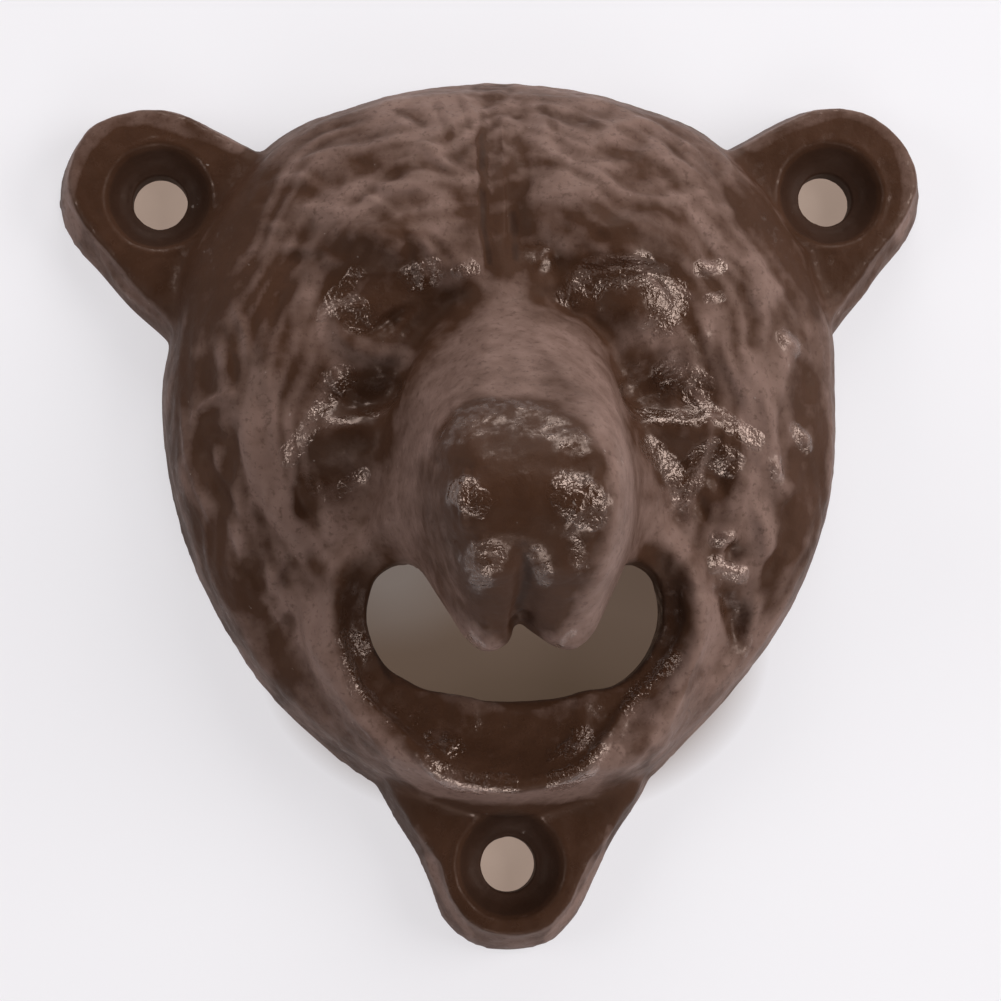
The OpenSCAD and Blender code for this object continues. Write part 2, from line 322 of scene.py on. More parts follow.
# %% Left eye
left_eye_folds = [
    # brow roll
    (1.5, 0.7, (-20.5, -8.5), (-18.5, -7), (-16.5, -7), (-14, -8), (-12.5, -9.5)),
    # outer fold and its hollow
    (1.3, 0.35, (-22, -11), (-23, -14.5), (-23.5, -17.5), (-23, -21.5)),
    (1.3, -0.3, (-25.5, -12.5), (-26.5, -17)),
    # upper lid
    (0.8, 0.35, (-17.5, -11.5), (-19, -13), (-20.5, -15)),
    # inner corner
    (2.2, -1.3, (-13.5, -16), (-12.5, -17.5)),
    # lumps on the inner brow
    (1.4, 0.5, (-10.5, -12), (-9, -11.5)),
    (1.3, 0.35, (-6, -11), (-4, -11)),
    # lower lid and the crease under it
    (1.4, 0.7, (-20, -18.5), (-17.5, -19.5), (-15, -20.5), (-12, -20.5)),
    (0.9, -0.35, (-18.5, -21), (-15.5, -22), (-12.5, -22)),
    # bag and its hollow
    (1.9, 0.7, (-20, -24), (-18.5, -23)),
    (1.7, -0.8, (-17.5, -26), (-15, -25), (-12.5, -23.5)),
    # creases lower down
    (1.1, -0.35, (-19, -33.5), (-16, -33.5)),
    (1.3, -0.4, (-24.5, -24.5), (-26, -26), (-27, -29)),
    # what shows of the ball
    (1.7, 0.4, (-17.5, -14.5), (-17.5, -15.5)),
    (1.2, 0.6, (-19, -14), (-19, -17), (-17.5, -19.5)),
]
brush(left_eye_folds)
print("left eye carved with", len(left_eye_folds), "strokes")

# %% Right eye
right_eye_folds = [
    # brow roll
    (1.3, 0.5, (11.5, -7), (15, -6.5), (17.5, -8), (20, -10.5), (21.5, -13.5)),
    # hollows at the root of the nose, and a lump between them
    (1.5, -0.6, (5, -9.5), (5.5, -13)),
    (1.9, -0.4, (1.5, -7), (4.5, -9)),
    (1.5, 0.5, (3, -10), (4.5, -10.5)),
    # rims round the ball: inner, outer, upper
    (1.9, 1, (7.5, -13), (8, -16), (9.5, -19), (12.5, -20.5)),
    (2.2, 1.1, (22, -14.5), (21, -18.5), (16.5, -20)),
    (1.3, 0.9, (8.5, -10.5), (14, -9.5), (19, -11)),
    # hollow and bag
    (2.2, -0.8, (14.5, -23), (16, -25.5)),
    (2.4, 0.7, (18.5, -23), (21, -24.5)),
    # branching creases on the cheek
    (1.3, 0.25, (15.5, -32), (17.5, -33), (19, -35), (20, -37)),
    (1.3, 0.25, (22, -32.5), (20.5, -34.5), (20.5, -36.5)),
    (1, -0.4, (19, -32.5), (19.5, -33.5)),
    (1.7, 0.3, (23, -32), (25, -33)),
    (1.3, -0.6, (23, -35), (25, -35)),
    (1.7, 0.35, (27, -33.5), (26, -36.5)),
    # outer fold and its hollow
    (1.1, 0.3, (22, -17), (25, -22), (26, -24)),
    (1.5, -0.35, (26, -25), (27, -29)),
    # cheek roll beside the snout, middle of the bag
    (2.4, 1, (14.5, -31), (16, -35), (17.5, -38)),
    (1.7, 0.5, (17.5, -23), (18, -24)),
]
brush(right_eye_folds)
print("right eye carved with", len(right_eye_folds), "strokes")

# %% Creases and eyeball
ledges = [
    # under the left bag
    (0.9, -0.45, (-25, -32.5), (-23.5, -30), (-22, -28), (-20.5, -26)),
    (0.9, -0.3, (-21, -28.5), (-18.5, -28), (-15.5, -27), (-13.5, -26), (-12, -24.5)),
    # under the right bag
    (1, -0.5, (13, -26), (14.5, -27.5), (17.5, -28), (20.5, -28), (23, -27.5), (25.5, -29), (28, -30.5)),
    # edges of the upper lids, right and left
    (0.6, 0.25, (6.5, -15), (7.5, -12.5), (8.5, -11), (12, -10), (15.5, -10), (18.5, -11.5), (21, -15)),
    (0.6, 0.2, (-21.5, -17), (-20.5, -14.5), (-19, -12.5), (-17, -11.5), (-14, -11)),
]
for crease in ledges:
    ledge(*crease)
right_eyeball = (14.5, -14.5, 8, 5.6, 1.3)
dome(*right_eyeball)
print("eyes creased with", len(ledges), "ledges")

# %% [markdown]
# ## Snout and lips
# The snout stands in a groove of its own. Its nose pad has a raised upper edge, soft hollows for nostrils,
# two wings, two lower lobes and the groove that parts the upper lips. Short hairs comb back along its
# flanks. The lower lip is a dished plate with a sharp crest, which catches the cap, and two small teeth.

# %% Grooves beside the snout
muzzle_grooves = [
    # left and right groove
    (1.4, -0.7, (-4, -13.5), (-8, -15.5), (-10.5, -18.5), (-12.5, -22), (-14, -26), (-15, -31)),
    (1.3, -0.7, (2, -13.5), (7, -15.5), (11.5, -19.5), (13.5, -23.5), (14.5, -27.5), (15, -31.5),
        (15.5, -34.5)),
    # shoulders of the bridge
    (1.6, 0.8, (-6, -17), (-8, -19.5), (-9.5, -22.5), (-11, -26.5), (-12, -30.5)),
    (1.7, 0.9, (4, -17), (6, -18.5), (8, -21.5), (10, -25.5), (10.5, -30.5)),
    # rolls down to the corners of the mouth
    (1.8, 1.1, (-13.5, -35.5), (-14, -39.5), (-16, -43)),
    (1.8, 1.1, (14.5, -35.5), (16, -39.5), (18, -43)),
]
brush(muzzle_grooves)
print("snout set off with", len(muzzle_grooves), "strokes")

# %% Nose
nose_carving = [
    # upper edge of the pad
    (1.5, 0.35, (-8, -32.5), (-5, -30.5), (-1.5, -30), (2, -30.5), (4.5, -33)),
    # hollows under it
    (1.9, -0.6, (-9, -36.5), (-6, -36.5)),
    (1.9, -0.6, (2.5, -36.5), (6.5, -37)),
    # wings
    (2.4, 1, (-7.5, -40), (-6.5, -40)),
    (2.5, 1, (4.5, -40), (5.5, -40.5)),
    # ridge across, nostril hollows
    (1.1, 0.3, (-5, -43.5), (-2, -43.5), (1, -44)),
    (1.5, -0.5, (-8.5, -44), (-5.5, -44.5)),
    (1.5, -0.5, (2.5, -44.5), (5.5, -44.5)),
    # lower lobes
    (2.4, 0.5, (-4.5, -45.5), (-4.5, -48.5)),
    (2.4, 0.4, (2, -46), (2.5, -48.5)),
    # groove that parts the upper lips
    (1.2, -1.1, (-1, -45), (-0.5, -47.5), (-0.5, -50), (-1, -53.5)),
    # tips of the lips
    (1.3, 0.4, (-5, -53.5), (-3, -53)),
    (1.3, 0.4, (2.5, -53.5), (4.5, -53.5)),
]
brush(nose_carving)
print("nose carved with", len(nose_carving), "strokes")

# %% Hair on the snout
flank_hair = [
    # left flank
    (0.3, -0.3, (-10.5, -33.5), (-9.5, -35.5), (-8.5, -37.5)),
    (0.4, -0.3, (-11, -38), (-10, -40.5), (-9.5, -43)),
    (0.3, -0.25, (-9.5, -39.5), (-9.5, -42), (-9, -44)),
    (0.3, -0.25, (-11, -42), (-10, -44.5), (-9, -47)),
    (0.3, -0.25, (-9, -45.5), (-8, -48.5), (-6.5, -50.5)),
    # right flank
    (0.3, -0.3, (7.5, -33.5), (8, -35.5), (8.5, -38)),
    (0.4, -0.35, (7.5, -37), (8, -39.5), (7.5, -41)),
    (0.3, -0.25, (6.5, -34.5), (7, -36.5), (6.5, -38)),
    (0.3, -0.25, (7, -43.5), (6, -46), (5.5, -48)),
    (0.3, -0.25, (6, -47), (5, -49.5), (4, -51)),
    # left corner of the mouth
    (0.4, -0.25, (-13.5, -37.5), (-12.5, -40.5), (-13, -42)),
    # tips of the lips
    (0.3, -0.2, (-6.5, -51), (-5, -52), (-3.5, -52)),
    (0.3, -0.2, (-6, -52), (-4.5, -53), (-3, -53)),
    (0.3, -0.2, (1.5, -52), (3, -53), (5, -51.5)),
    (0.3, -0.2, (1.5, -53), (3.5, -54), (5, -53)),
    # sides of the bridge
    (0.3, -0.25, (9, -28), (9.5, -31), (9.5, -33.5)),
    (0.3, -0.2, (-9.5, -27.5), (-10.5, -30.5), (-11, -33)),
    # one more on each flank
    (0.3, -0.25, (8, -40.5), (7.5, -42.5), (6.5, -45)),
    (0.3, -0.25, (-10.5, -36.5), (-10, -39), (-10, -41.5)),
]
brush(flank_hair)
print("snout combed with", len(flank_hair), "hairs")

# %% Lower lip
lip_carving = [
    # teeth
    (2.8, 0.35, (-7, -61), (-3.5, -60.5)),
    (2.6, 0.4, (6.5, -61), (9, -61.5)),
    # dish
    (2.8, -0.6, (-13, -60.5), (-7, -64), (0.5, -65), (8, -64), (13.5, -60)),
    # crest
    (0.9, 0.8, (-19.5, -48), (-19.5, -52.5), (-18, -56.5), (-16, -60), (-12.5, -63), (-9.5, -66.5),
        (-6.5, -68.5), (-1, -69), (4, -68.5), (7.5, -67), (10, -64.5), (13.5, -60), (16.5, -57.5),
        (18.5, -54.5), (20, -51), (19.5, -48)),
    # hollows outside the crest
    (1.4, -0.6, (-22.5, -54.5), (-19.5, -61), (-13.5, -67)),
    (1.4, -0.8, (24, -53), (20.5, -58.5), (15.5, -65)),
    # lumps on the dish
    (1.3, 0.4, (-8, -63.5), (-6.5, -64.5)),
    (1.2, 0.4, (6, -65), (8, -64)),
]
brush(lip_carving)
print("lip carved with", len(lip_carving), "strokes")

# %% [markdown]
# ## Fur
# The fur is shallow locks: long hollows with soft ridges between them, level on the forehead where they run
# out from the centre groove, and following the edge of the face down the cheeks. The clear ones are brushed
# one by one. Each is brushed a second time, wider, onto a tone that later makes ridges pale and hollows dark.
# A combed noise fills the ground between them so that no part stays bare.

# %% Folds of the forehead
forehead_folds = [
    # the solid's broad groove, filled
    (1.8, 1.4, (0, 11), (0, 4.5), (-0.5, -2), (-0.5, -8), (-1, -13.5)),
    # line left of the centre
    (0.8, -0.4, (-2, 0.5), (-2, -6), (-2.5, -12.5)),
    # pad above the left brow
    (2.8, 0.35, (-6, -3.5), (-6, -7.5)),
    # line right of the centre
    (1.3, -0.45, (1, -2.5), (1, -7), (1, -11)),
    # end of the right brow, pad above it
    (2.2, -0.4, (3.5, -7.5), (4.5, -10.5)),
    (3, 0.4, (7, -4.5), (10.5, -6.5)),
    # fine line of the groove
    (0.5, -0.3, (-2.5, 8.5), (-2.5, 3), (-2.5, -3.5), (-2.5, -9.5)),
]
brush(forehead_folds)
print("forehead folded with", len(forehead_folds), "strokes")
# Painted highlight and shade on the fur: the tone turns paler on the ridges and darker in the hollows, along
# the brushed locks and the combed noise.
fur_shade_and_highlight = np.zeros(len(clay))
tone_wider = 1.5

def brush_fur(strokes):
    brush(strokes)
    brush(strokes, fur_shade_and_highlight, tone_wider)
    print("fur brushed with", len(strokes), "strokes")

# %% Hollows of the forehead
forehead_hollows = [
    # left half
    (1, -0.34, (-22, 0.5), (-20, -0.5), (-18, -1)),
    (0.9, -0.34, (-18, 2.5), (-16, 1.5), (-14, 0.5)),
    (1, -0.32, (-14.5, 0.5), (-12.5, 0), (-11, -1)),
    (0.9, -0.34, (-25, -1), (-22.5, -1.5), (-20.5, -2.5)),
    (0.8, -0.32, (-11, 9), (-9.5, 7.5), (-8, 6.5)),
    (0.5, -0.26, (-9.5, 1.5), (-7.5, 0.5), (-6, -0.5)),
    (0.8, -0.29, (-24, -7), (-21, -6.5), (-19, -6)),
    (0.8, -0.29, (-25.5, -10), (-23.5, -9.5), (-21.5, -9.5)),
    (1.3, -0.29, (-7, 6), (-5.5, 3.5), (-4, 2)),
    (0.4, -0.2, (-6, -2.5), (-5, -4), (-4.5, -5.5)),
    (0.6, -0.26, (-16.5, -6), (-13.5, -6), (-11, -8)),
    (0.6, -0.34, (-11.5, -8), (-11, -9.5), (-10.5, -10.5)),
    (0.6, -0.18, (-18.5, -2.5), (-16, -3.5)),
    (0.9, -0.2, (-28, -1.5), (-27.5, -2.5)),
    (0.5, -0.18, (-15.5, -2), (-13.5, -3)),
    (0.5, -0.29, (-9, -7.5), (-7.5, -9), (-6.5, -10.5)),
    (0.9, -0.18, (-12.5, -4), (-10.5, -4.5), (-9.5, -6.5)),
    # right half
    (1, -0.34, (13, -1), (16, 0), (19, 0.5)),
    (0.5, -0.26, (17.5, -2), (20, -1), (22.5, -0.5)),
    (1.1, -0.34, (11, 2.5), (14, 3.5), (16.5, 5), (18, 6.5)),
    (1.3, -0.29, (6.5, 8), (10, 8), (13.5, 8.5)),
    (0.8, -0.29, (19.5, 5), (20.5, 4), (22, 3.5)),
    (0.9, -0.29, (23.5, 3.5), (25, 2), (26, 1.5)),
    (0.5, -0.18, (10.5, -4), (15, -4.5), (20.5, -3.5)),
    (0.5, -0.29, (2, 3), (2.5, -0.5), (1.5, -3.5)),
    (0.9, -0.23, (22, -12), (24, -12.5), (25, -13.5)),
]
brush_fur(forehead_hollows)

# %% Ridges of the forehead
forehead_ridges = [
    # left half
    (0.5, 0.34, (-23.5, 2.5), (-21, 3), (-18, 3.5), (-16, 3.5)),
    (0.6, 0.3, (-26, 0.5), (-23.5, 0.5), (-21.5, 0)),
    (0.6, 0.38, (-23.5, -3), (-21, -4), (-18, -4.5), (-16.5, -4)),
    (0.5, 0.3, (-28, -4.5), (-25.5, -5.5), (-24, -6)),
    (0.5, 0.3, (-26, -8), (-24, -8), (-22, -8.5)),
    (0.6, 0.3, (-18, -1.5), (-15.5, -1), (-12.5, -2), (-9.5, -1.5), (-7, -1)),
    (0.6, 0.42, (-12, 4.5), (-9, 3.5), (-7.5, 2), (-6, 0.5), (-3.5, 0)),
    (0.3, 0.27, (-7, 10), (-6.5, 8), (-5.5, 6.5)),
    (0.5, 0.3, (-5, 12), (-4, 10), (-3, 7.5), (-2.5, 5)),
    (0.3, 0.38, (-3.5, 0), (-2.5, -1.5), (-2, -2.5), (-2.5, -4)),
    (0.4, 0.27, (-16, -2.5), (-14, -4), (-12.5, -5)),
    (0.5, 0.27, (-21, -10.5), (-19.5, -10), (-18, -10)),
    (0.4, 0.27, (-10, -8), (-9, -9), (-8.5, -10.5)),
    # right half
    (0.6, 0.34, (2, -4), (4.5, -3), (8.5, -2.5), (12, -1.5)),
    (0.4, 0.34, (12, -1.5), (13.5, -2.5), (16, -3), (19, -3), (23.5, -1.5)),
    (0.6, 0.3, (4.5, -3), (6, -1), (8, 0.5), (11, 1), (15, 1.5)),
    (0.5, 0.34, (16.5, 2), (19, 2), (21, 1.5), (23, 0)),
    (0.5, 0.3, (9, 2), (11.5, 4.5), (13.5, 6.5), (16.5, 7.5), (18.5, 7), (20, 5)),
    (0.9, 0.23, (15.5, 2), (18, 3.5)),
    (0.8, 0.23, (5, 9), (5, 5.5), (5.5, 2.5)),
    (0.5, 0.3, (21, 5), (21.5, 4)),
    (0.5, 0.27, (26.5, 3.5), (27, 2), (25.5, 0)),
    (0.5, 0.27, (24, -3.5), (26, -3.5), (27.5, -4)),
    (0.8, 0.23, (22, -7), (24, -6.5), (25, -6.5)),
]
brush_fur(forehead_ridges)

# %% Left cheek
left_cheek_fur = [
    # long roll below the eye
    (1.6, 0.58, (-27.5, -20), (-28.5, -25.5), (-28, -30), (-27, -34.5), (-25.5, -39), (-23, -42)),
    # outer cheek
    (0.6, -0.42, (-35.5, -26.5), (-34, -26)),
    (1, -0.42, (-33.5, -29.5), (-32, -28.5)),
    (1, -0.51, (-31.5, -31.5), (-32, -35), (-31, -38)),
    (0.9, -0.51, (-23.5, -36.5), (-22.5, -39)),
    (0.5, 0.44, (-36, -28.5), (-35, -26.5), (-33, -25), (-30.5, -24.5)),
    (0.5, 0.39, (-35, -34.5), (-34, -36.5), (-33.5, -38.5)),
    (0.6, 0.39, (-31.5, -38.5), (-30.5, -41), (-29.5, -43.5)),
    # jaw
    (0.8, -0.42, (-27.5, -42), (-28.5, -44.5)),
    (0.6, 0.39, (-25.5, -43), (-26.5, -45.5), (-28, -48)),
    (0.8, -0.42, (-24, -42.5), (-25, -45), (-26, -47)),
    (1.2, 0.44, (-27.5, -48.5), (-26, -50)),
    (1.2, 0.58, (-23.5, -47), (-22.5, -50), (-22, -53.5), (-20.5, -58)),
    (0.6, -0.34, (-25, -48), (-24.5, -51.5)),
    (1.3, 0.39, (-20.5, -39), (-19.5, -41.5)),
    # temple
    (1, -0.38, (-33.5, -19.5), (-34, -21.5), (-34, -24)),
    (0.9, 0.34, (-31, -18.5), (-31.5, -21.5)),
    (0.8, -0.34, (-29.5, -43), (-30, -46), (-29.5, -48)),
    # long strands
    (0.5, 0.45, (-37, -23.5), (-36.5, -28), (-35.5, -33.5), (-33.5, -39)),
    (0.5, 0.4, (-36, -27), (-34, -25.5), (-31.5, -24.5), (-30, -23.5)),
    (0.6, -0.4, (-35, -27), (-34, -31.5), (-32, -36.5)),
    (1, 0.5, (-30, -27.5), (-28.5, -32.5), (-26.5, -37.5), (-23, -41.5)),
    (0.6, -0.4, (-31.5, -27.5), (-30, -33), (-28.5, -37.5), (-25.5, -41.5)),
    (0.6, 0.4, (-33, -29.5), (-32, -34), (-29.5, -39)),
    (0.8, -0.4, (-24.5, -34.5), (-23, -38), (-21.5, -40)),
    (0.6, 0.35, (-21.5, -33.5), (-20.5, -37), (-20, -40)),
    (0.6, 0.4, (-31, -14), (-29.5, -17.5), (-29, -21.5)),
    (0.6, -0.35, (-32, -17), (-31, -21), (-30.5, -25)),
    (0.6, 0.35, (-27.5, -43), (-25.5, -47), (-23.5, -50)),
    (0.6, -0.35, (-29.5, -43), (-28, -47), (-25.5, -52)),
    (0.6, 0.4, (-23.5, -47.5), (-22, -52.5), (-20, -56.5)),
]
brush_fur(left_cheek_fur)

# %% Right cheek
right_cheek_fur = [
    # glossy tufts
    (0.5, 0.49, (22, -11), (24.5, -10.5)),
    (0.3, 0.44, (23, -14.5), (24.5, -14)),
    (0.6, 0.58, (31.5, -18), (32.5, -19), (34, -20)),
    (0.6, 0.58, (33.5, -28.5), (34, -29.5), (35, -30.5)),
    (0.4, 0.44, (30.5, -33), (31, -34.5)),
    (0.8, 0.58, (23.5, -41.5), (25.5, -41)),
    (0.6, 0.58, (23.5, -44.5), (25.5, -45), (27, -45.5)),
    # pits beside the mouth
    (1, -0.91, (24.5, -43), (26.5, -43)),
    (1.2, -1.09, (24.5, -47.5), (26, -50), (27, -53)),
    # locks from temple to jaw
    (1.1, 0.49, (28.5, -22.5), (29, -25.5), (29.5, -29.5), (29, -32.5)),
    (0.9, 0.39, (27.5, -14.5), (30, -13.5), (33, -12)),
    (0.9, 0.34, (27.5, -8.5), (29.5, -10.5), (30.5, -13)),
    (0.8, -0.45, (21.5, -37), (22.5, -39.5)),
    (0.9, -0.45, (33, -31.5), (31.5, -35)),
    (1, -0.45, (33, -36.5), (31.5, -40)),
    (0.9, -0.41, (34, -20), (35, -23), (34.5, -26)),
    (1, -0.36, (27.5, -18), (27, -20.5)),
    (0.9, 0.39, (28, -38.5), (29.5, -40.5)),
    (0.8, -0.36, (31, -43), (29.5, -45.5)),
    (0.8, 0.34, (28.5, -47), (28, -50)),
    (0.9, -0.36, (20, -38.5), (18.5, -39.5)),
    # long strands
    (0.8, 0.4, (28.5, -8.5), (29.5, -14.5), (29.5, -19)),
    (0.8, -0.35, (26.5, -10), (27.5, -14.5), (28, -18)),
    (0.9, 0.4, (29.5, -23.5), (28.5, -29.5), (29, -34)),
    (0.8, -0.35, (32, -23.5), (31.5, -28), (32, -33.5)),
    (0.9, 0.4, (27.5, -37), (29, -40.5), (30, -44)),
    (0.9, -0.35, (32.5, -37), (32, -41.5), (30.5, -46)),
    (1, 0.4, (21.5, -48.5), (24, -50.5), (24.5, -54)),
    (0.9, -0.4, (27, -48.5), (26.5, -53), (24, -56.5)),
    (1, 0.45, (29, -48.5), (27, -54), (23.5, -58.5)),
    (0.9, 0.35, (20, -58.5), (17.5, -62.5), (15, -65)),
]
brush_fur(right_cheek_fur)

# %% Combed strands between them
def grain(points, size):
    return np.array([noise.noise(Vector(p / size)) for p in points])

round_face = np.arctan2(across / FACE_HALF_WIDE, (height_on_face - FACE_MIDDLE) / FACE_HALF_HIGH)
out_on_face = out_from_middle(across, height_on_face)
past_eyes, past_edge = ramp(0.45, 0.62, out_on_face), ramp(0.97, 1.05, out_on_face)
off_lugs = ramp(11.0, 13.0, from_screws(clay))
on_lip = ramp(-44, -48, height_on_face) * (1 - ramp(24, 28, np.abs(across)))
furred = past_eyes * (1 - past_edge) * (front > 0.02) * off_lugs * (1 - on_lip)
combed = np.flatnonzero(furred > 0)

strand_height, hair_height, lock_height = 0.16, 0.08, 0.15
mm_outwards, mm_round = 42, 8
sway = 2.4 * grain(clay[combed], size=9.0)
outwards, sideways = out_on_face[combed] * mm_outwards + sway, round_face[combed] * mm_round
strand = np.stack([outwards, sideways, 0 * sway], axis=1)
hairs = grain(strand + 17.0, size=1.3)
comb = strand_height * (0.5 - 2.2 * np.abs(grain(strand, size=2.6))) + hair_height * hairs
locks = grain(strand * np.array((1, 0.6, 1)) + 53.0, size=1.4)
relief[combed] += (comb + lock_height * locks) * furred[combed]
fur_shade_and_highlight[combed] += (1.2 * comb + 0.5 * locks) * furred[combed]
print("fur combed over", len(combed), "points")

# %% [markdown]
# ## Paint beads
# Thick paint gathered in a bead along the lug edges and round the countersinks, which shows as a thin pale
# line. A bead is the thinnest of brush strokes, and round a countersink it is a ring.

# %% Beads on the lugs
countersink_edge, bead_half_width, bead_height = 6.55, 0.3, 0.14
paint_beads = [
    # ears
    (0.3, 0.25, (-47, -5), (-44, -10), (-39, -14.5)),
    (0.3, 0.25, (46.5, -6.5), (44, -11), (40.5, -14)),
    # chin
    (0.3, 0.22, (-10, -75.5), (-8, -81)),
    (0.3, 0.22, (12, -74), (8.5, -80)),
]
brush(paint_beads)
off_edge = (from_screws(clay) - countersink_edge) / bead_half_width
relief += bead_height * np.exp(-off_edge ** 2) * (front > 0.9)
print("beads laid on", len(paint_beads), "edges and", len(SCREWS), "countersinks")

# %% [markdown]
# ## Cast skin
# Sand leaves a fine unevenness on iron, and the paint rounds it off. A fixed noise moves the front by about
# a tenth of a millimetre, and more in the groove of the forehead, which is rougher. There the tone follows
# the same noise, paler on the bumps and darker in the dips, as painted highlight and shade.

# %% Uneven sand skin
seen = np.flatnonzero(front > 0.02)
skin = np.zeros(len(clay))
coarse_height, fine_height = 0.10, 0.05
skin[seen] = coarse_height * grain(clay[seen], size=1.7) + fine_height * grain(clay[seen] + 31.0, size=0.8)
groove_x, rougher_in_groove = 0.4, 2.2
off_centre = np.abs(across - groove_x)
in_groove = (1 - ramp(1.8, 3.2, off_centre)) * ramp(-3, 1, height_on_face)
skin *= 1 + rougher_in_groove * in_groove
# painted highlight and shade: in the groove the tone follows the skin, paler on its bumps, darker in its dips
fur_shade_and_highlight += 1.2 * skin * in_groove
relief += skin
print("skin uneven by up to", round(float(np.abs(skin).max()), 2), "mm")

# %% Move the clay
box_low, box_high = (np.array([v / MM for v in corner]) for corner in (low, high))
set_points(np.clip(clay + facing * (relief * front)[:, None], box_low, box_high))
smooth_with("last_pass", front * 0.8, factor=0.35, repeats=1)
in_band = (1 - ramp(1.8, 3.6, off_centre)) * ramp(-18, -14, height_on_face) * ramp(0.3, 0.8, front)
smooth_with("centre_band", in_band, factor=0.5, repeats=10)
print("relief runs from", round(relief.min(), 2), "to", round(relief.max(), 2), "mm")

# %% [markdown]
# ## Wet and dry paint
# On the real casting the paint pooled smooth and glossy on the nose, eyes, creases and lips, and dried dull
# over the fur and the sides of the snout. By hand one would paint two vertex layers. Here strokes mark two
# values per point. Wet is 1 where the film shines. The other value sets the tone: it rises with paler dry
# paint and with painted highlights on ridges, on the bridge of the snout, on the outer lip and on faces
# turned to the lamps, and falls below 0 with painted shade in grooves, hollows, creases and countersinks.

# %% Marks along strokes
full_within, gone_at = 0.6, 1.4

# Lays a share along strokes, for gloss, painted highlights and painted shade alike.
def mark_along(strokes):
    shares = np.zeros(len(clay))
    for half_width, share, *path in strokes:
        line = path_points(path)
        near = points_near(line, gone_at * half_width)
        away = np.sqrt(gaps_to(line, near).min(1)) / half_width
        shares[near] = np.maximum(shares[near], share * (1 - ramp(full_within, gone_at, away)))
    return shares

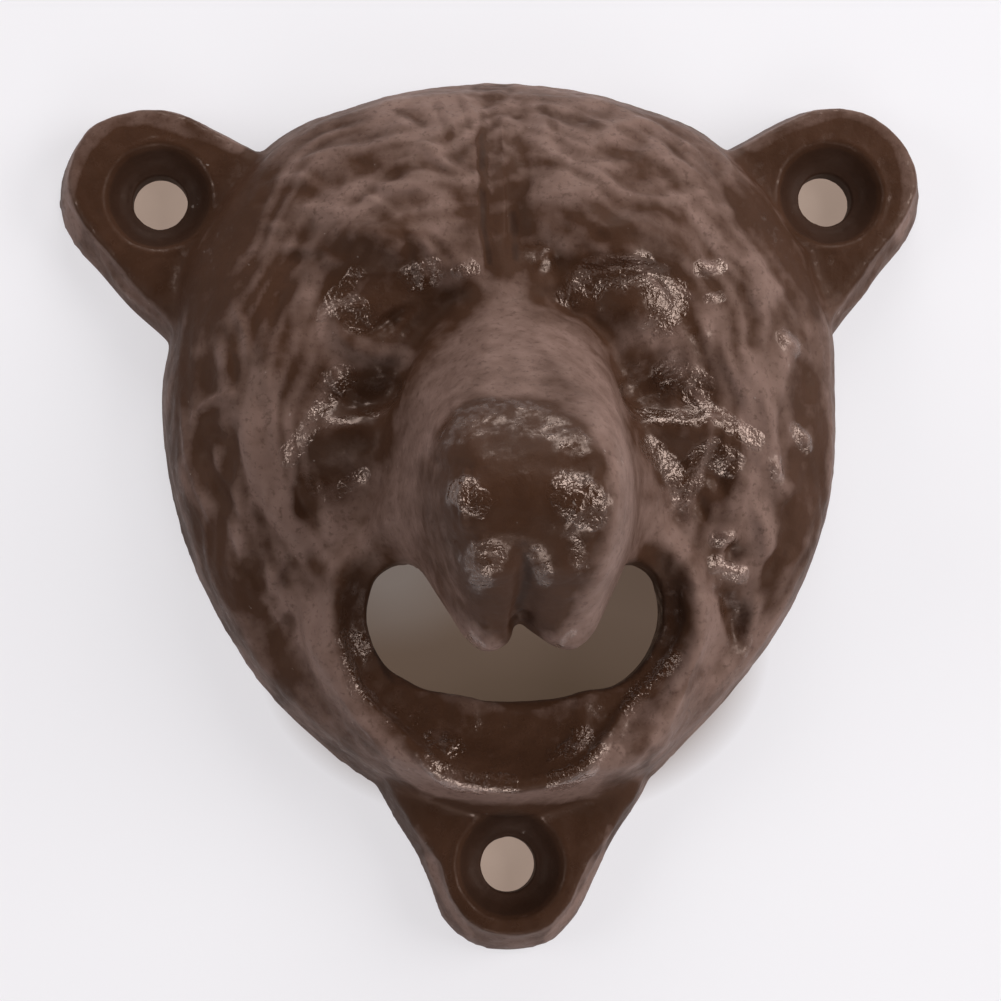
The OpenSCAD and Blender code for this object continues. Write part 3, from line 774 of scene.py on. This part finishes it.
# %% Wet places
wet_places = [
    # left eye and brow
    (2.1, 1, (-18, -15), (-16.5, -16.5)),
    (2.6, 0.45, (-13.5, -13.5), (-13, -17)),
    (1, 1, (-21, -16), (-19.5, -14), (-18, -12.5), (-17, -11.5)),
    (1.7, 1, (-10.5, -12), (-8.5, -11.5)),
    (1.1, 0.95, (-5.5, -11.5), (-4, -11)),
    # end of the right brow
    (1.5, 0.62, (3, -9), (4.5, -10.5)),
    # left bag and the creases below
    (1.9, 0.85, (-20, -24), (-18.5, -23)),
    (2.2, 0.45, (-16.5, -25), (-13.5, -24)),
    (1, 0.7, (-12.5, -24.5), (-14, -26), (-17.5, -28), (-20, -28.5)),
    (1.4, 0.9, (-25, -32), (-23, -29.5), (-20.5, -26)),
    (2.6, 0.2, (-21.5, -31), (-15.5, -30)),
    (1, 0.9, (-19, -35.5), (-16.5, -34)),
    (1.3, 0.7, (-23, -34.5), (-20, -36)),
    # right eyeball
    (3.7, 0.45, (10.5, -13.5), (15, -14), (16, -14.5)),
    (2.8, 0.5, (16, -18.5), (20.5, -19)),
    # right bag and the creases below
    (2.2, 0.6, (14.5, -23), (16, -25.5)),
    (2.4, 1, (18.5, -23), (21.5, -24.5)),
    (1.3, 1, (13, -25.5), (14.5, -27.5), (20.5, -28), (23, -27.5), (28, -30.5)),
    (2.2, 0.3, (15, -29.5), (24, -30)),
    (1.9, 1, (16, -32), (18, -34), (19.5, -36.5)),
    (1.4, 1, (21.5, -32.5), (20.5, -35.5)),
    (1.9, 1, (23, -32), (25, -33)),
    (1.5, 0.6, (23, -35), (24.5, -35)),
    (1.9, 0.5, (17, -37), (20.5, -38.5)),
    # tufts at the right temple and cheek
    (1, 1, (22, -11), (24.5, -10.5)),
    (0.8, 0.9, (23, -14.5), (24.5, -14)),
    (1.3, 0.75, (32, -18.5), (33.5, -19.5)),
    (1.1, 0.9, (33.5, -29), (34.5, -30.5)),
    (1.1, 0.9, (30.5, -33), (31, -34.5)),
    # pits beside the mouth
    (1.1, 0.95, (23.5, -41.5), (25, -41.5)),
    (1.1, 0.3, (24.5, -43), (26.5, -43)),
    (1.2, 0.95, (23.5, -44.5), (26.5, -45.5)),
    (1.7, 0.6, (24.5, -47.5), (26, -50), (27, -53)),
    # upper edge of the nose pad
    (2.1, 0.6, (-7.5, -32.5), (-4.5, -31), (-1, -31), (3, -32.5), (4.5, -34.5)),
    (1, 0.7, (3, -34.5), (4.5, -34)),
    # wings and lobes of the nose
    (1.7, 1, (-7, -39), (-5.5, -40.5)),
    (2.8, 1, (4, -39.5), (5.5, -41)),
    (1.8, 0.85, (-5.5, -45.5), (-4, -45.5)),
    (1.2, 0.8, (-5, -46.5), (-5, -48)),
    (3.9, 0.3, (-3.5, -38), (-1, -42.5)),
    (1.2, 0.68, (0.5, -45.5), (1.5, -47.5)),
    # sides and dish of the lip
    (1.9, 0.5, (-18, -47), (-17.5, -52.5), (-16, -58.5)),
    (3.5, 0.5, (-13.5, -60.5), (-7, -64), (0.5, -64.5), (8.5, -64), (13.5, -60)),
    (1.7, 0.5, (15.5, -58), (18, -53), (18.5, -47.5)),
    # left corner, teeth and lumps
    (1.5, 1, (-18.5, -52.5), (-17, -53)),
    (2.2, 0.4, (-8.5, -60.5), (-3.5, -60)),
    (2.2, 0.4, (6, -60.5), (8, -61)),
    (1.5, 1, (-8.5, -63.5), (-6.5, -64.5)),
    (1.4, 1, (6, -65), (8, -63.5)),
    # crest of the lip
    (1.3, 1, (4.5, -68.5), (7.5, -67.5), (9.5, -65.5)),
    (1.1, 1, (13, -60.5), (16, -57.5), (18.5, -55)),
    (1, 1, (-18.5, -54.5), (-17.5, -58), (-16, -59)),
    (1.1, 0.9, (-9.5, -66), (-6, -68), (-0.5, -68.5)),
    # right upper lid
    (1.6, 1, (7, -14), (8.5, -12), (11, -11), (15, -10.5)),
    # side of the nose
    (1.2, 0.68, (4, -44), (5, -46.5)),
    # brightest part of the right eye
    (2.5, 1, (16.5, -12.5), (18.5, -14.5), (17.5, -16.5)),
    (2.2, 1, (8.5, -13), (11, -12), (13.5, -11.5)),
    # tips of the upper lips
    (0.5, 0.7, (-5.5, -53), (-4.5, -54)),
    (0.5, 0.7, (3.5, -54.5), (5, -53)),
]
lug_wet = 0.42
on_lugs = (1 - ramp(9.0, 15.0, from_screws(clay))) * ramp(0.5, 0.8, -facing[:, 1])
in_sink = (1 - ramp(5.6, 6.4, from_screws(clay))) * (front > 0.05)
wet = np.maximum(mark_along(wet_places), lug_wet * on_lugs) * (1 - in_sink)
print("wet share of points", round(float((wet > 0.5).mean()), 2))

# %% Pale places
# Paler dry paint and painted highlights: these strokes lighten the crown, the bridge and flanks of the snout,
# the lids, the right temple and cheek, the jaw, the outer lip and the tips of the lips, most where the head
# faces the lamps on the right and above.
pale_paint_and_highlights = [
    # crown, bridge and flanks of the snout
    (5.9, 0.7, (-9.5, 8.5), (0, 10.5), (9.5, 8.5)),
    (3.2, 0.8, (-0.5, -18), (-0.5, -22.5), (-1, -26.5)),
    (1.9, 0.7, (-4, -19), (-8, -27), (-11, -33.5), (-11.5, -40.5), (-9.5, -46), (-7, -52.5)),
    (2.2, 0.9, (4, -19.5), (7.5, -27.5), (9, -33.5), (9.5, -40), (7.5, -46), (6, -52)),
    # left lid, fold and cheek
    (1.4, 0.9, (-20, -18), (-17.5, -19.5), (-12, -21)),
    (1.2, 0.6, (-21, -10), (-23, -14.5), (-23, -21)),
    (1.6, 0.5, (-28, -23.5), (-28, -30), (-26.5, -35.5), (-23, -42)),
    # right temple
    (3.9, 0.6, (27, -8.5), (29.5, -16.5), (29.5, -28)),
    (2.6, 0.5, (25, -18), (26.5, -24)),
    # outer lip
    (1.5, 1, (-21, -48), (-21, -53.5), (-19.5, -59), (-15, -64), (-9.5, -68.5), (-0.5, -69.5),
        (7.5, -69.5), (11.5, -65), (17, -60), (21.5, -55), (22.5, -49)),
    # forehead
    (6.5, 0.35, (6.5, 3), (18, 2), (25, -2.5)),
    (4.3, 0.3, (-20, -3), (-9.5, -1)),
    # corners of the mouth, right lid
    (1.9, 0.6, (-13.5, -39.5), (-16.5, -43), (-19.5, -46)),
    (1.9, 0.7, (15.5, -39.5), (18.5, -43), (21.5, -47.5)),
    (2.6, 0.5, (15, -20.5), (20.5, -20)),
    # jaw and right cheek
    (3.2, 0.6, (29.5, -48), (26, -54), (20.5, -60)),
    (3.9, 0.75, (30, -30.5), (29.5, -37), (28.5, -44)),
    (2.8, 0.4, (-28.5, -42), (-24, -51.5)),
    (2.6, 0.8, (23.5, -58.5), (21, -62), (18.5, -65.5)),
    (1.7, 0.7, (-22.5, -58), (-20.5, -61), (-18, -63)),
    (2.2, 0.8, (-20.5, -58), (-16, -64), (-10.5, -69.5)),
    # tips of the upper lips
    (1.3, 0.8, (-6.5, -51.5), (-6, -53.5)),
    (1.3, 0.8, (6, -51), (5, -53.5)),
    (1.2, 1, (-5.5, -53.5), (-3.5, -54.5)),
    (1.2, 1, (2.5, -54.5), (5, -54)),
    # jaw beside the lip
    (2.2, 0.8, (22, -53), (18.5, -58.5), (13.5, -64.5), (10.5, -69)),
    (1.7, 0.6, (-21.5, -52.5), (-18.5, -59.5), (-13.5, -65.5)),
    (2.8, 0.6, (22, -59), (19.5, -63)),
    # left flank and cheek, beside the nose, left lid
    (1.7, 0.4, (-11, -33.5), (-11.5, -38.5)),
    (3.2, 0.3, (-31, -36.5), (-29.5, -41)),
    (2.6, 0.35, (9.5, -30), (13.5, -29.5)),
    (2.2, 0.35, (-18.5, -20), (-16.5, -20.5)),
    # left flank, sides of the tips
    (1.4, 1, (-10.5, -32.5), (-10.5, -39.5), (-9.5, -44.5), (-8, -49)),
    (1.1, 0.9, (-7, -50), (-6, -53)),
    (1.2, 1, (6.5, -49.5), (6, -52.5), (4.5, -54.5)),
]
plain_haze, fur_share, pale_share = 0.42, 0.55, 0.5
# The tone value starts plain and takes the fur's painted highlight and shade and the pale places.
shade_and_haze = plain_haze + fur_share * np.clip(fur_shade_and_highlight / 0.4, -1, 1) + pale_share * mark_along(pale_paint_and_highlights)
print("paint paled along", len(pale_paint_and_highlights), "strokes")

# %% Dark places
# Painted shade: these strokes darken the grooves beside the snout, the eyes, bags and creases, the nose pad,
# the lip, the roots of the lugs and ears, the edges of the face and the band under the lip, with the dark
# notch in the crown, a few blots on the jaw and streaks on the crown.
painted_shade_and_blots = [
    # grooves beside the snout
    (1.5, 0.6, (-4.5, -14), (-8, -15.5), (-10.5, -18.5), (-12.5, -22), (-14, -26), (-15, -31)),
    (1.3, 0.6, (3.5, -14.5), (7, -15.5), (11.5, -19.5), (13.5, -23.5), (15, -27.5), (16, -31.5),
        (16.5, -34.5)),
    # left eye and bag
    (4.1, 0.8, (-17.5, -11.5), (-12, -14.5), (-15.5, -17)),
    (2.8, 0.8, (-17.5, -25.5), (-13, -23.5)),
    # right eye, bag and creases
    (3.7, 0.7, (7, -13), (13, -13), (18.5, -14)),
    (3, 0.8, (14.5, -22.5), (16, -25.5)),
    (1.9, 0.5, (20.5, -25), (23, -26.5)),
    (2.6, 0.7, (14.5, -30), (24, -30.5)),
    (2.4, 0.6, (19.5, -34), (23, -35)),
    # left temple and edge
    (3.7, 0.5, (-26.5, -13), (-25.5, -19)),
    (3.2, 0.5, (-34.5, -16.5), (-35, -24.5), (-33.5, -33)),
    (2.6, 0.6, (-36, -30.5), (-34.5, -38.5), (-30.5, -47.5), (-25, -56.5)),
    # jaw
    (1.7, 0.6, (-24, -54.5), (-20.5, -61), (-15, -67), (-10, -71)),
    (1.7, 0.4, (24, -57), (21, -61), (16.5, -67)),
    # right edge
    (2.6, 0.6, (34, -19.5), (35.5, -29), (34, -39), (30.5, -47)),
    # right of the forehead's groove
    (1.7, 0.8, (1, -4), (2, -7.5), (4, -11.5)),
    # left cheek
    (2.6, 0.6, (-20, -31.5), (-15.5, -30.5)),
    (2.2, 0.4, (-23.5, -36.5), (-20, -34.5)),
    # nose pad
    (6, 1, (-2, -35.5), (-1.5, -42)),
    (4.8, 1, (-2, -46), (-1, -49)),
    # lip and corner of the mouth
    (2.2, 1, (-18, -46), (-17.5, -52.5), (-15, -58)),
    (3.7, 0.65, (-12.5, -60.5), (-7, -63.5), (1, -64), (8.5, -64), (13.5, -59.5)),
    (1.9, 1, (15.5, -58), (18, -53), (18.5, -47.5), (16, -44)),
    (1.7, 0.7, (-14.5, -43.5), (-17.5, -46)),
    # notch in the crown
    (0.9, 0.9, (-2, 12.5), (1.5, 12.5)),
    # sides and underside of the nose
    (2.6, 1, (-8.5, -36), (-8.5, -40), (-8, -44), (-6.5, -48)),
    (2.6, 1, (5.5, -37), (5.5, -40.5), (5, -45), (3.5, -48)),
    (2.6, 1.2, (-4.5, -49.5), (-1, -50.5), (2.5, -50)),
    # right brow and temple
    (4.3, 0.3, (9.5, -6.5), (15, -7.5)),
    (3.7, 0.35, (21, -7.5), (23.5, -8.5)),
    (3.2, 0.4, (31, -17.5), (33, -18.5)),
    # upper edge of the nose pad
    (1.9, 0.8, (-8, -33), (-5, -31), (0.5, -30.5), (4.5, -33.5)),
    # roots of the chin lug
    (2.6, 1.2, (-13, -70), (-10, -74)),
    (2.6, 1, (12.5, -70.5), (10.5, -74.5)),
    # left of the bridge, under the lip
    (1.5, 0.5, (-3.5, -15), (-7.5, -18), (-10.5, -22), (-12.5, -26)),
    (1.4, 1.3, (-8, -71.5), (-4, -72.5), (0, -72.5), (4, -72.5), (8.5, -72)),
    # roots of the ears
    (4.1, 0.7, (-30.5, 2.5), (-32, -4.5), (-35, -12)),
    (3.7, 0.45, (31.5, 2.5), (35, -4.5), (36.5, -12)),
    # groove of the forehead
    (2.4, 0.45, (0.5, 11.5), (0, -3)),
    (0.5, 0.9, (-2.5, 6), (-2.5, -3.5), (-2, -11)),
    (1, 0.9, (1, -3.5), (1, -10.5)),
    (1.5, 0.5, (-0.5, -3), (-0.5, -11.5)),
    # streaks on the crown
    (0.6, 0.6, (-11.5, 8.5), (-9, 6.5)),
    (0.6, 0.6, (-7, 9.5), (-6, 5)),
    (0.5, 0.6, (-4.5, 10.5), (-3.5, 6)),
    (0.6, 0.5, (5, 9), (6, 6)),
    (0.6, 0.5, (9, 8), (11.5, 6)),
    (0.6, 0.5, (13.5, 6), (16.5, 5)),
    # blots on the jaw
    (1.1, 0.7, (21.5, -57), (20, -58.5)),
    (1, 0.7, (18.5, -59.5), (17.5, -61)),
    (1, 0.6, (15.5, -63), (14, -65)),
    (0.9, 0.6, (-24, -53.5), (-23, -55.5)),
    (0.9, 0.6, (-21.5, -58), (-20, -60)),
    (1, 0.7, (-17, -63.5), (-15.5, -65)),
    (1, 0.6, (-12.5, -67), (-11.5, -68)),
]
dark_share, lowest_haze = 0.75, -0.25
shade_and_haze = np.clip(shade_and_haze - dark_share * mark_along(painted_shade_and_blots), lowest_haze, 1)
print("paint deepened along", len(painted_shade_and_blots), "strokes")

# %% Thin lines, lugs and countersinks
# Painted highlights: thin pale lines along the top edges of the ears, the edges of the chin lug and under the
# crest of the lip.
painted_highlight_edges = [
    # ears
    (1, 0.6, (-49.5, -3.5), (-50, 0.5), (-48.5, 5), (-45.5, 8.5), (-41, 9.5), (-36, 8), (-30.5, 6)),
    (1, 0.6, (30.5, 6), (35.5, 8.5), (41.5, 10), (46, 8), (48.5, 4.5), (49, -0.5), (48, -4)),
    # chin
    (0.5, 0.7, (11.5, -74), (10.5, -78), (8, -82.5), (4.5, -86.5)),
    (0.4, 0.5, (-10.5, -73.5), (-9, -77), (-7.5, -81.5), (-4.5, -86)),
    # under the crest of the lip
    (0.9, 0.9, (-13, -66), (-9.5, -68.5), (-5, -69.5)),
    (0.5, 0.5, (-5, -69.5), (-0.5, -70), (4.5, -69.5)),
    (0.9, 0.9, (4.5, -69.5), (8, -69), (11.5, -65.5)),
]
# Painted shadow: thin dark lines under the edge of the lower lip and in the grooves between the upper lips
# and of the forehead.
painted_shadow_lines = [
    # edge of the lower lip
    (0.5, 0.5, (-15, -53.5), (-13.5, -56.5), (-11, -57.5), (-6.5, -58), (-2.5, -59), (1, -60),
        (4.5, -59.5), (8, -58.5), (11, -58), (14, -56.5), (16, -53.5)),
    # groove between the upper lips
    (0.4, 0.4, (-0.5, -46), (0, -48.5), (-0.5, -51)),
    # groove of the forehead
    (0.4, 0.35, (-2, 8), (-2.5, 0.5), (-2.5, -7), (-2, -10.5)),
    (0.4, 0.35, (1, -4.5), (1, -10)),
]
# The lug faces that look forward take deep brown paint with painted shade and no pale blotches, while their
# sides keep the plainer, paler tone.
lug_face_shade, sink_painted_shade = -0.32, -0.6
shade_and_haze = shade_and_haze * (1 - on_lugs) + lug_face_shade * on_lugs + mark_along(painted_highlight_edges) - mark_along(painted_shadow_lines)
# Painted shadow in the countersinks: their tone is pushed down towards near-black brown.
shade_and_haze = shade_and_haze * (1 - in_sink) + sink_painted_shade * in_sink
for name, shares in (("wet", wet), ("shade_and_haze", shade_and_haze)):
    values = casting.data.attributes.new(name, "FLOAT", "POINT")
    values.data.foreach_set("value", shares.astype(np.float32))
print("haze runs from", round(float(shade_and_haze.min()), 2), "to", round(float(shade_and_haze.max()), 2))

# %% [markdown]
# ## A lighter back
# The hollow back lies against the wall, so its even small squares are wasted there. In edit mode only the
# faces that look backwards are selected and thinned. Then the piece goes back to metres.

# %% Thin the back
back_kept = 0.13
backward = per_point("normal")[:, 1] > 0.2
bpy.ops.object.mode_set(mode="EDIT")
bpy.ops.mesh.select_mode(type="FACE")
bpy.ops.mesh.select_all(action="DESELECT")
bpy.ops.object.mode_set(mode="OBJECT")
for face in casting.data.polygons:
    face.select = bool(backward[list(face.vertices)].all())
bpy.ops.object.mode_set(mode="EDIT")
bpy.ops.mesh.decimate(ratio=back_kept)
bpy.ops.mesh.select_all(action="SELECT")
bpy.ops.mesh.normals_make_consistent(inside=False)
bpy.ops.object.mode_set(mode="OBJECT")
bpy.ops.object.shade_smooth()
set_points(np.clip(per_point("co"), box_low, box_high))
casting.data.transform(Matrix.Scale(MM, 4))
casting.data.calc_loop_triangles()
print("casting has", len(casting.data.loop_triangles), "triangles")

# %% [markdown]
# ## Brown paint
# The finish is one dark brown paint. Its tone follows the haze and shade value, from deep brown where shade
# is painted into hollows and creases to a pale mauve brown where the paint dried paler and where highlights
# are painted on, and down to a near-black painted shadow in the countersinks and dark lines. Its shine
# follows the wetness. A crinkle in the drying film breaks the highlights into flecks, and fine pits and a
# few specks of dust sit in it. An image could carry all that; noise and the two values per point do it at
# any size.

# %% Node helpers
paint = bpy.data.materials.new("brown_paint")
paint.use_nodes = True
nodes, links = paint.node_tree.nodes, paint.node_tree.links
shader = nodes["Principled BSDF"]
place = nodes.new("ShaderNodeTexCoord")

def noise_value(per_metre, detail=2.0, roughness=0.5):
    node = nodes.new("ShaderNodeTexNoise")
    for name, number in (("Scale", per_metre), ("Detail", detail), ("Roughness", roughness)):
        node.inputs[name].default_value = number
    links.new(place.outputs["Object"], node.inputs["Vector"])
    return node.outputs["Fac"]

def blend(factor, a, b):
    node = nodes.new("ShaderNodeMix")
    node.data_type = "RGBA"
    for value, socket in ((factor, node.inputs["Factor"]), (a, node.inputs["A"]), (b, node.inputs["B"])):
        if isinstance(value, bpy.types.NodeSocket):
            links.new(value, socket)
        else:
            socket.default_value = value
    return node.outputs["Result"]

def rescale(value, from_low, from_high, to_low, to_high):
    node = nodes.new("ShaderNodeMapRange")
    links.new(value, node.inputs["Value"])
    ends = ("From Min", from_low), ("From Max", from_high), ("To Min", to_low), ("To Max", to_high)
    for name, number in ends:
        node.inputs[name].default_value = number
    return node.outputs["Result"]

def combine(operation, a, b, clamp=False):
    node = nodes.new("ShaderNodeMath")
    node.operation = operation
    node.use_clamp = clamp
    links.new(a, node.inputs[0])
    links.new(b, node.inputs[1])
    return node.outputs["Value"]

def point_value(name):
    node = nodes.new("ShaderNodeAttribute")
    node.attribute_name = name
    return node.outputs["Fac"]

# %% Tone of the paint
deep_brown = (0.042, 0.0180, 0.0095, 1), (0.054, 0.0240, 0.0135, 1)
mauve_brown = (0.151, 0.0925, 0.0735, 1), (0.192, 0.121, 0.099, 1)
shadow_brown, pit_brown = (0.010, 0.0055, 0.0045, 1), (0.040, 0.018, 0.0110, 1)
dust_grey = (0.30, 0.24, 0.21, 1)
mottle = rescale(noise_value(160, 4.0), 0.35, 0.65, 0, 1)
blotch = rescale(noise_value(420, 3.0), 0.3, 0.7, -0.24, 0.24)
dryness = combine("ADD", point_value("shade_and_haze"), blotch, clamp=True)
tone = blend(dryness, blend(mottle, *deep_brown), blend(mottle, *mauve_brown))
# Painted shadow: where the value falls below -0.3 the tone turns towards near-black brown.
tone = blend(rescale(point_value("shade_and_haze"), -0.8, -0.3, 0.7, 0), tone, shadow_brown)
tone = blend(rescale(noise_value(1500, 3.0, 0.6), 0.30, 0.46, 0.45, 0), tone, pit_brown)
tone = blend(rescale(noise_value(900, 2.0), 0.76, 0.80, 0, 0.5), tone, dust_grey)
links.new(tone, shader.inputs["Base Color"])

# %% Shine of the paint
flow = rescale(noise_value(800, 3.0, 0.6), 0.3, 0.7, -0.4, 0.25)
wet_value = combine("ADD", point_value("wet"), flow, clamp=True)
links.new(rescale(wet_value, 0, 0.9, 0.55, 0.11), shader.inputs["Roughness"])
# The socket's own value stands where a linked one can't be read.
shader.inputs["Specular IOR Level"].default_value = 0.4
links.new(rescale(wet_value, 0.4, 1, 0.12, 1.0), shader.inputs["Specular IOR Level"])
shader.inputs["IOR"].default_value = 1.52
shader.inputs["Specular Tint"].default_value = (1.0, 0.77, 0.66, 1)

crinkle = combine("MULTIPLY", noise_value(1900, 2.0, 0.5), rescale(wet_value, 0.65, 1, 0.2, 1))
bump = nodes.new("ShaderNodeBump")
bump.inputs["Strength"].default_value = 0.8
bump.inputs["Distance"].default_value = 0.24 * MM
links.new(crinkle, bump.inputs["Height"])
links.new(bump.outputs["Normal"], shader.inputs["Normal"])
casting.data.materials.append(paint)
print("paint uses", len(nodes), "nodes")

# %% Stand the piece in for the solid
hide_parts("bear_head_casting")
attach(casting, "root")
print("bear head rides on root")

# %% [markdown]
# ## Paper
# The casting was pictured lying on white paper. Here the paper is the wall it hangs on. To the camera, and
# in reflections, the sheet also gives a share of its own white, which keeps the shadow soft round the head
# and grows to all of it further out. Behind the mouth and the holes the sheet is painted with brown shade,
# both in its colour and in that share, standing in for the shade the head casts there, lighter at the upper
# left of the mouth and deeper at its lower edge. Seen from behind, and to light from behind, the sheet is
# clear, so the hollow back can be looked at too.

# %% Paper wall
bpy.ops.object.select_all(action="DESELECT")
paper_size, paper_middle = 1.6, (0, 0.0004, -0.037)
bpy.ops.mesh.primitive_plane_add(size=paper_size, location=paper_middle, rotation=(math.pi / 2, 0, 0))
paper = bpy.context.object
paper.name = "paper_wall"
bpy.ops.object.transform_apply(location=True, rotation=True, scale=True)

# %% Patches on the paper
white = bpy.data.materials.new("white_paper")
white.use_nodes = True
nodes, links = white.node_tree.nodes, white.node_tree.links
sheet = nodes["Principled BSDF"]
sheet.inputs["Roughness"].default_value = 0.9
sheet.inputs["Specular IOR Level"].default_value = 0.1
place = nodes.new("ShaderNodeTexCoord")

def patch(x, z, half_wide, half_high, full_at=0.3):
    oval = nodes.new("ShaderNodeMapping")
    oval.vector_type = "TEXTURE"
    oval.inputs["Location"].default_value = Vector((x, 0, z)) * MM
    oval.inputs["Scale"].default_value = Vector((half_wide, half_wide, half_high)) * MM
    links.new(place.outputs["Object"], oval.inputs["Vector"])
    spot = nodes.new("ShaderNodeTexGradient")
    spot.gradient_type = "SPHERICAL"
    links.new(oval.outputs["Vector"], spot.inputs["Vector"])
    return rescale(spot.outputs["Fac"], 0.05, full_at, 0, 1)

in_mouth = patch(1.5, -53, 32, 22)
paper_tone, own_tone = (0.86, 0.84, 0.865, 1), (0.88, 0.86, 0.885, 1)
# Painted shade on the paper behind the holes and the mouth, in its colour and in its own glow.
hole_shade, hole_shade_glow = (0.70, 0.56, 0.47, 1), (0.46, 0.34, 0.275, 1)
mouth_shade = (0.62, 0.45, 0.36, 1)
for x, z in SCREWS:
    in_hole = patch(x, z, 7, 7)
    paper_tone = blend(in_hole, paper_tone, hole_shade)
    own_tone = blend(in_hole, own_tone, hole_shade_glow)
links.new(blend(in_mouth, paper_tone, mouth_shade), sheet.inputs["Base Color"])

# %% Own white of the paper
# Painted shade in the paper's glow behind the mouth: lighter at the upper left, deeper at the lower edge.
mouth_shade_glow = (0.122, 0.085, 0.063, 1)
mouth_lighter_shade, mouth_deeper_shade = (0.190, 0.160, 0.142, 1), (0.085, 0.057, 0.038, 1)
upper_left, lower_edge = patch(-13, -43, 13, 11, 0.8), patch(2, -63, 34, 16, 0.6)
mouth_painted_shade = blend(lower_edge, blend(upper_left, mouth_shade_glow, mouth_lighter_shade), mouth_deeper_shade)
own_white_and_shade = nodes.new("ShaderNodeEmission")
links.new(blend(in_mouth, own_tone, mouth_painted_shade), own_white_and_shade.inputs["Color"])

def seen_straight():
    rays = nodes.new("ShaderNodeLightPath").outputs
    seen = combine("MAXIMUM", rays["Is Camera Ray"], rays["Is Glossy Ray"])
    return combine("MAXIMUM", seen, rays["Is Transmission Ray"])

share_near, share_far, share_more_in_mouth = 0.65, 1.0, 0.15
around_head = rescale(patch(0, -37, 140, 140), 0, 1, share_far, share_near)
share = combine("ADD", around_head, rescale(in_mouth, 0, 1, 0, share_more_in_mouth), clamp=True)
front_side = nodes.new("ShaderNodeMixShader")
links.new(combine("MULTIPLY", seen_straight(), share), front_side.inputs["Fac"])
links.new(sheet.outputs["BSDF"], front_side.inputs[1])
links.new(own_white_and_shade.outputs["Emission"], front_side.inputs[2])

# %% Clear from behind
backfacing = nodes.new("ShaderNodeNewGeometry").outputs["Backfacing"]
shadow_ray = nodes.new("ShaderNodeLightPath").outputs["Is Shadow Ray"]
both_sides = nodes.new("ShaderNodeMixShader")
links.new(combine("MAXIMUM", backfacing, shadow_ray), both_sides.inputs["Fac"])
links.new(front_side.outputs["Shader"], both_sides.inputs[1])
links.new(nodes.new("ShaderNodeBsdfTransparent").outputs["BSDF"], both_sides.inputs[2])
links.new(both_sides.outputs["Shader"], nodes["Material Output"].inputs["Surface"])
paper.data.materials.append(white)
print("paper uses", len(nodes), "nodes")

# %% [markdown]
# ## Light
# Soft boxes stand at both sides and above, the right one brighter, and the room gives an even fill. A fill
# from below stays out of reflections, where it would grey the nose, and a small card below is seen in
# reflections only, for the glints under the snout. One box lights the hollow back. A dark card behind the
# camera keeps the surfaces that face it dark, so the tilted ones show their haze.

# %% Soft boxes
target = Vector((0, -15, -37)) * MM

def soft_box(name, direction, distance, size, radiance):
    data = bpy.data.lights.new(name, "AREA")
    data.shape = "DISK"
    data.size = size
    data.energy = radiance * math.pi * math.pi * (size / 2) ** 2
    lamp = bpy.data.objects.new(name, data)
    lamp.location = target + Vector(direction).normalized() * distance
    lamp.rotation_euler = (target - lamp.location).to_track_quat("-Z", "Y").to_euler()
    lamp.visible_camera = False
    bpy.context.scene.collection.objects.link(lamp)
    return lamp

soft_box("right_box", (0.79, -0.58, 0.12), 0.6, 0.42, 6.0)
soft_box("left_box", (-0.82, -0.56, 0.06), 0.6, 0.30, 4.8)
soft_box("top_box", (0.10, -0.40, 0.91), 0.6, 0.36, 6.2)
soft_box("bottom_box", (0.25, -0.68, -0.69), 0.6, 0.40, 2.8).visible_glossy = False
soft_box("glint_card", (-0.10, -0.30, -0.95), 0.4, 0.2, 6.0).visible_diffuse = False
soft_box("back_box", (0.0, 0.98, 0.2), 0.6, 0.40, 4.0).visible_glossy = False
print("lit by", len(bpy.data.lights), "lamps")

# %% Room
room = bpy.data.worlds.new("room")
room.use_nodes = True
bpy.context.scene.world = room
nodes, links = room.node_tree.nodes, room.node_tree.links
room_fill, room_seen = 0.3, 0.6
fill_light = nodes["Background"]
fill_light.inputs["Color"].default_value = (0.93, 0.92, 0.95, 1)
links.new(rescale(seen_straight(), 0, 1, room_fill, room_seen), fill_light.inputs["Strength"])

# %% Dark card behind the camera
bpy.ops.object.select_all(action="DESELECT")
card_radius, card_behind = 0.28, 0.06
bpy.ops.mesh.primitive_circle_add(
    vertices=64, radius=card_radius, fill_type="NGON", location=eye + back * card_behind,
    rotation=back.to_track_quat("Z", "Y").to_euler())
card = bpy.context.object
card.name = "dark_card"
card_paint = bpy.data.materials.new("dark_card")
card_paint.use_nodes = True
card_paint.node_tree.nodes["Principled BSDF"].inputs["Base Color"].default_value = (0.02, 0.02, 0.02, 1)
card.data.materials.append(card_paint)
card.visible_camera = False
card.visible_shadow = False

# %% Colours as written
bpy.context.scene.view_settings.view_transform = "Standard"
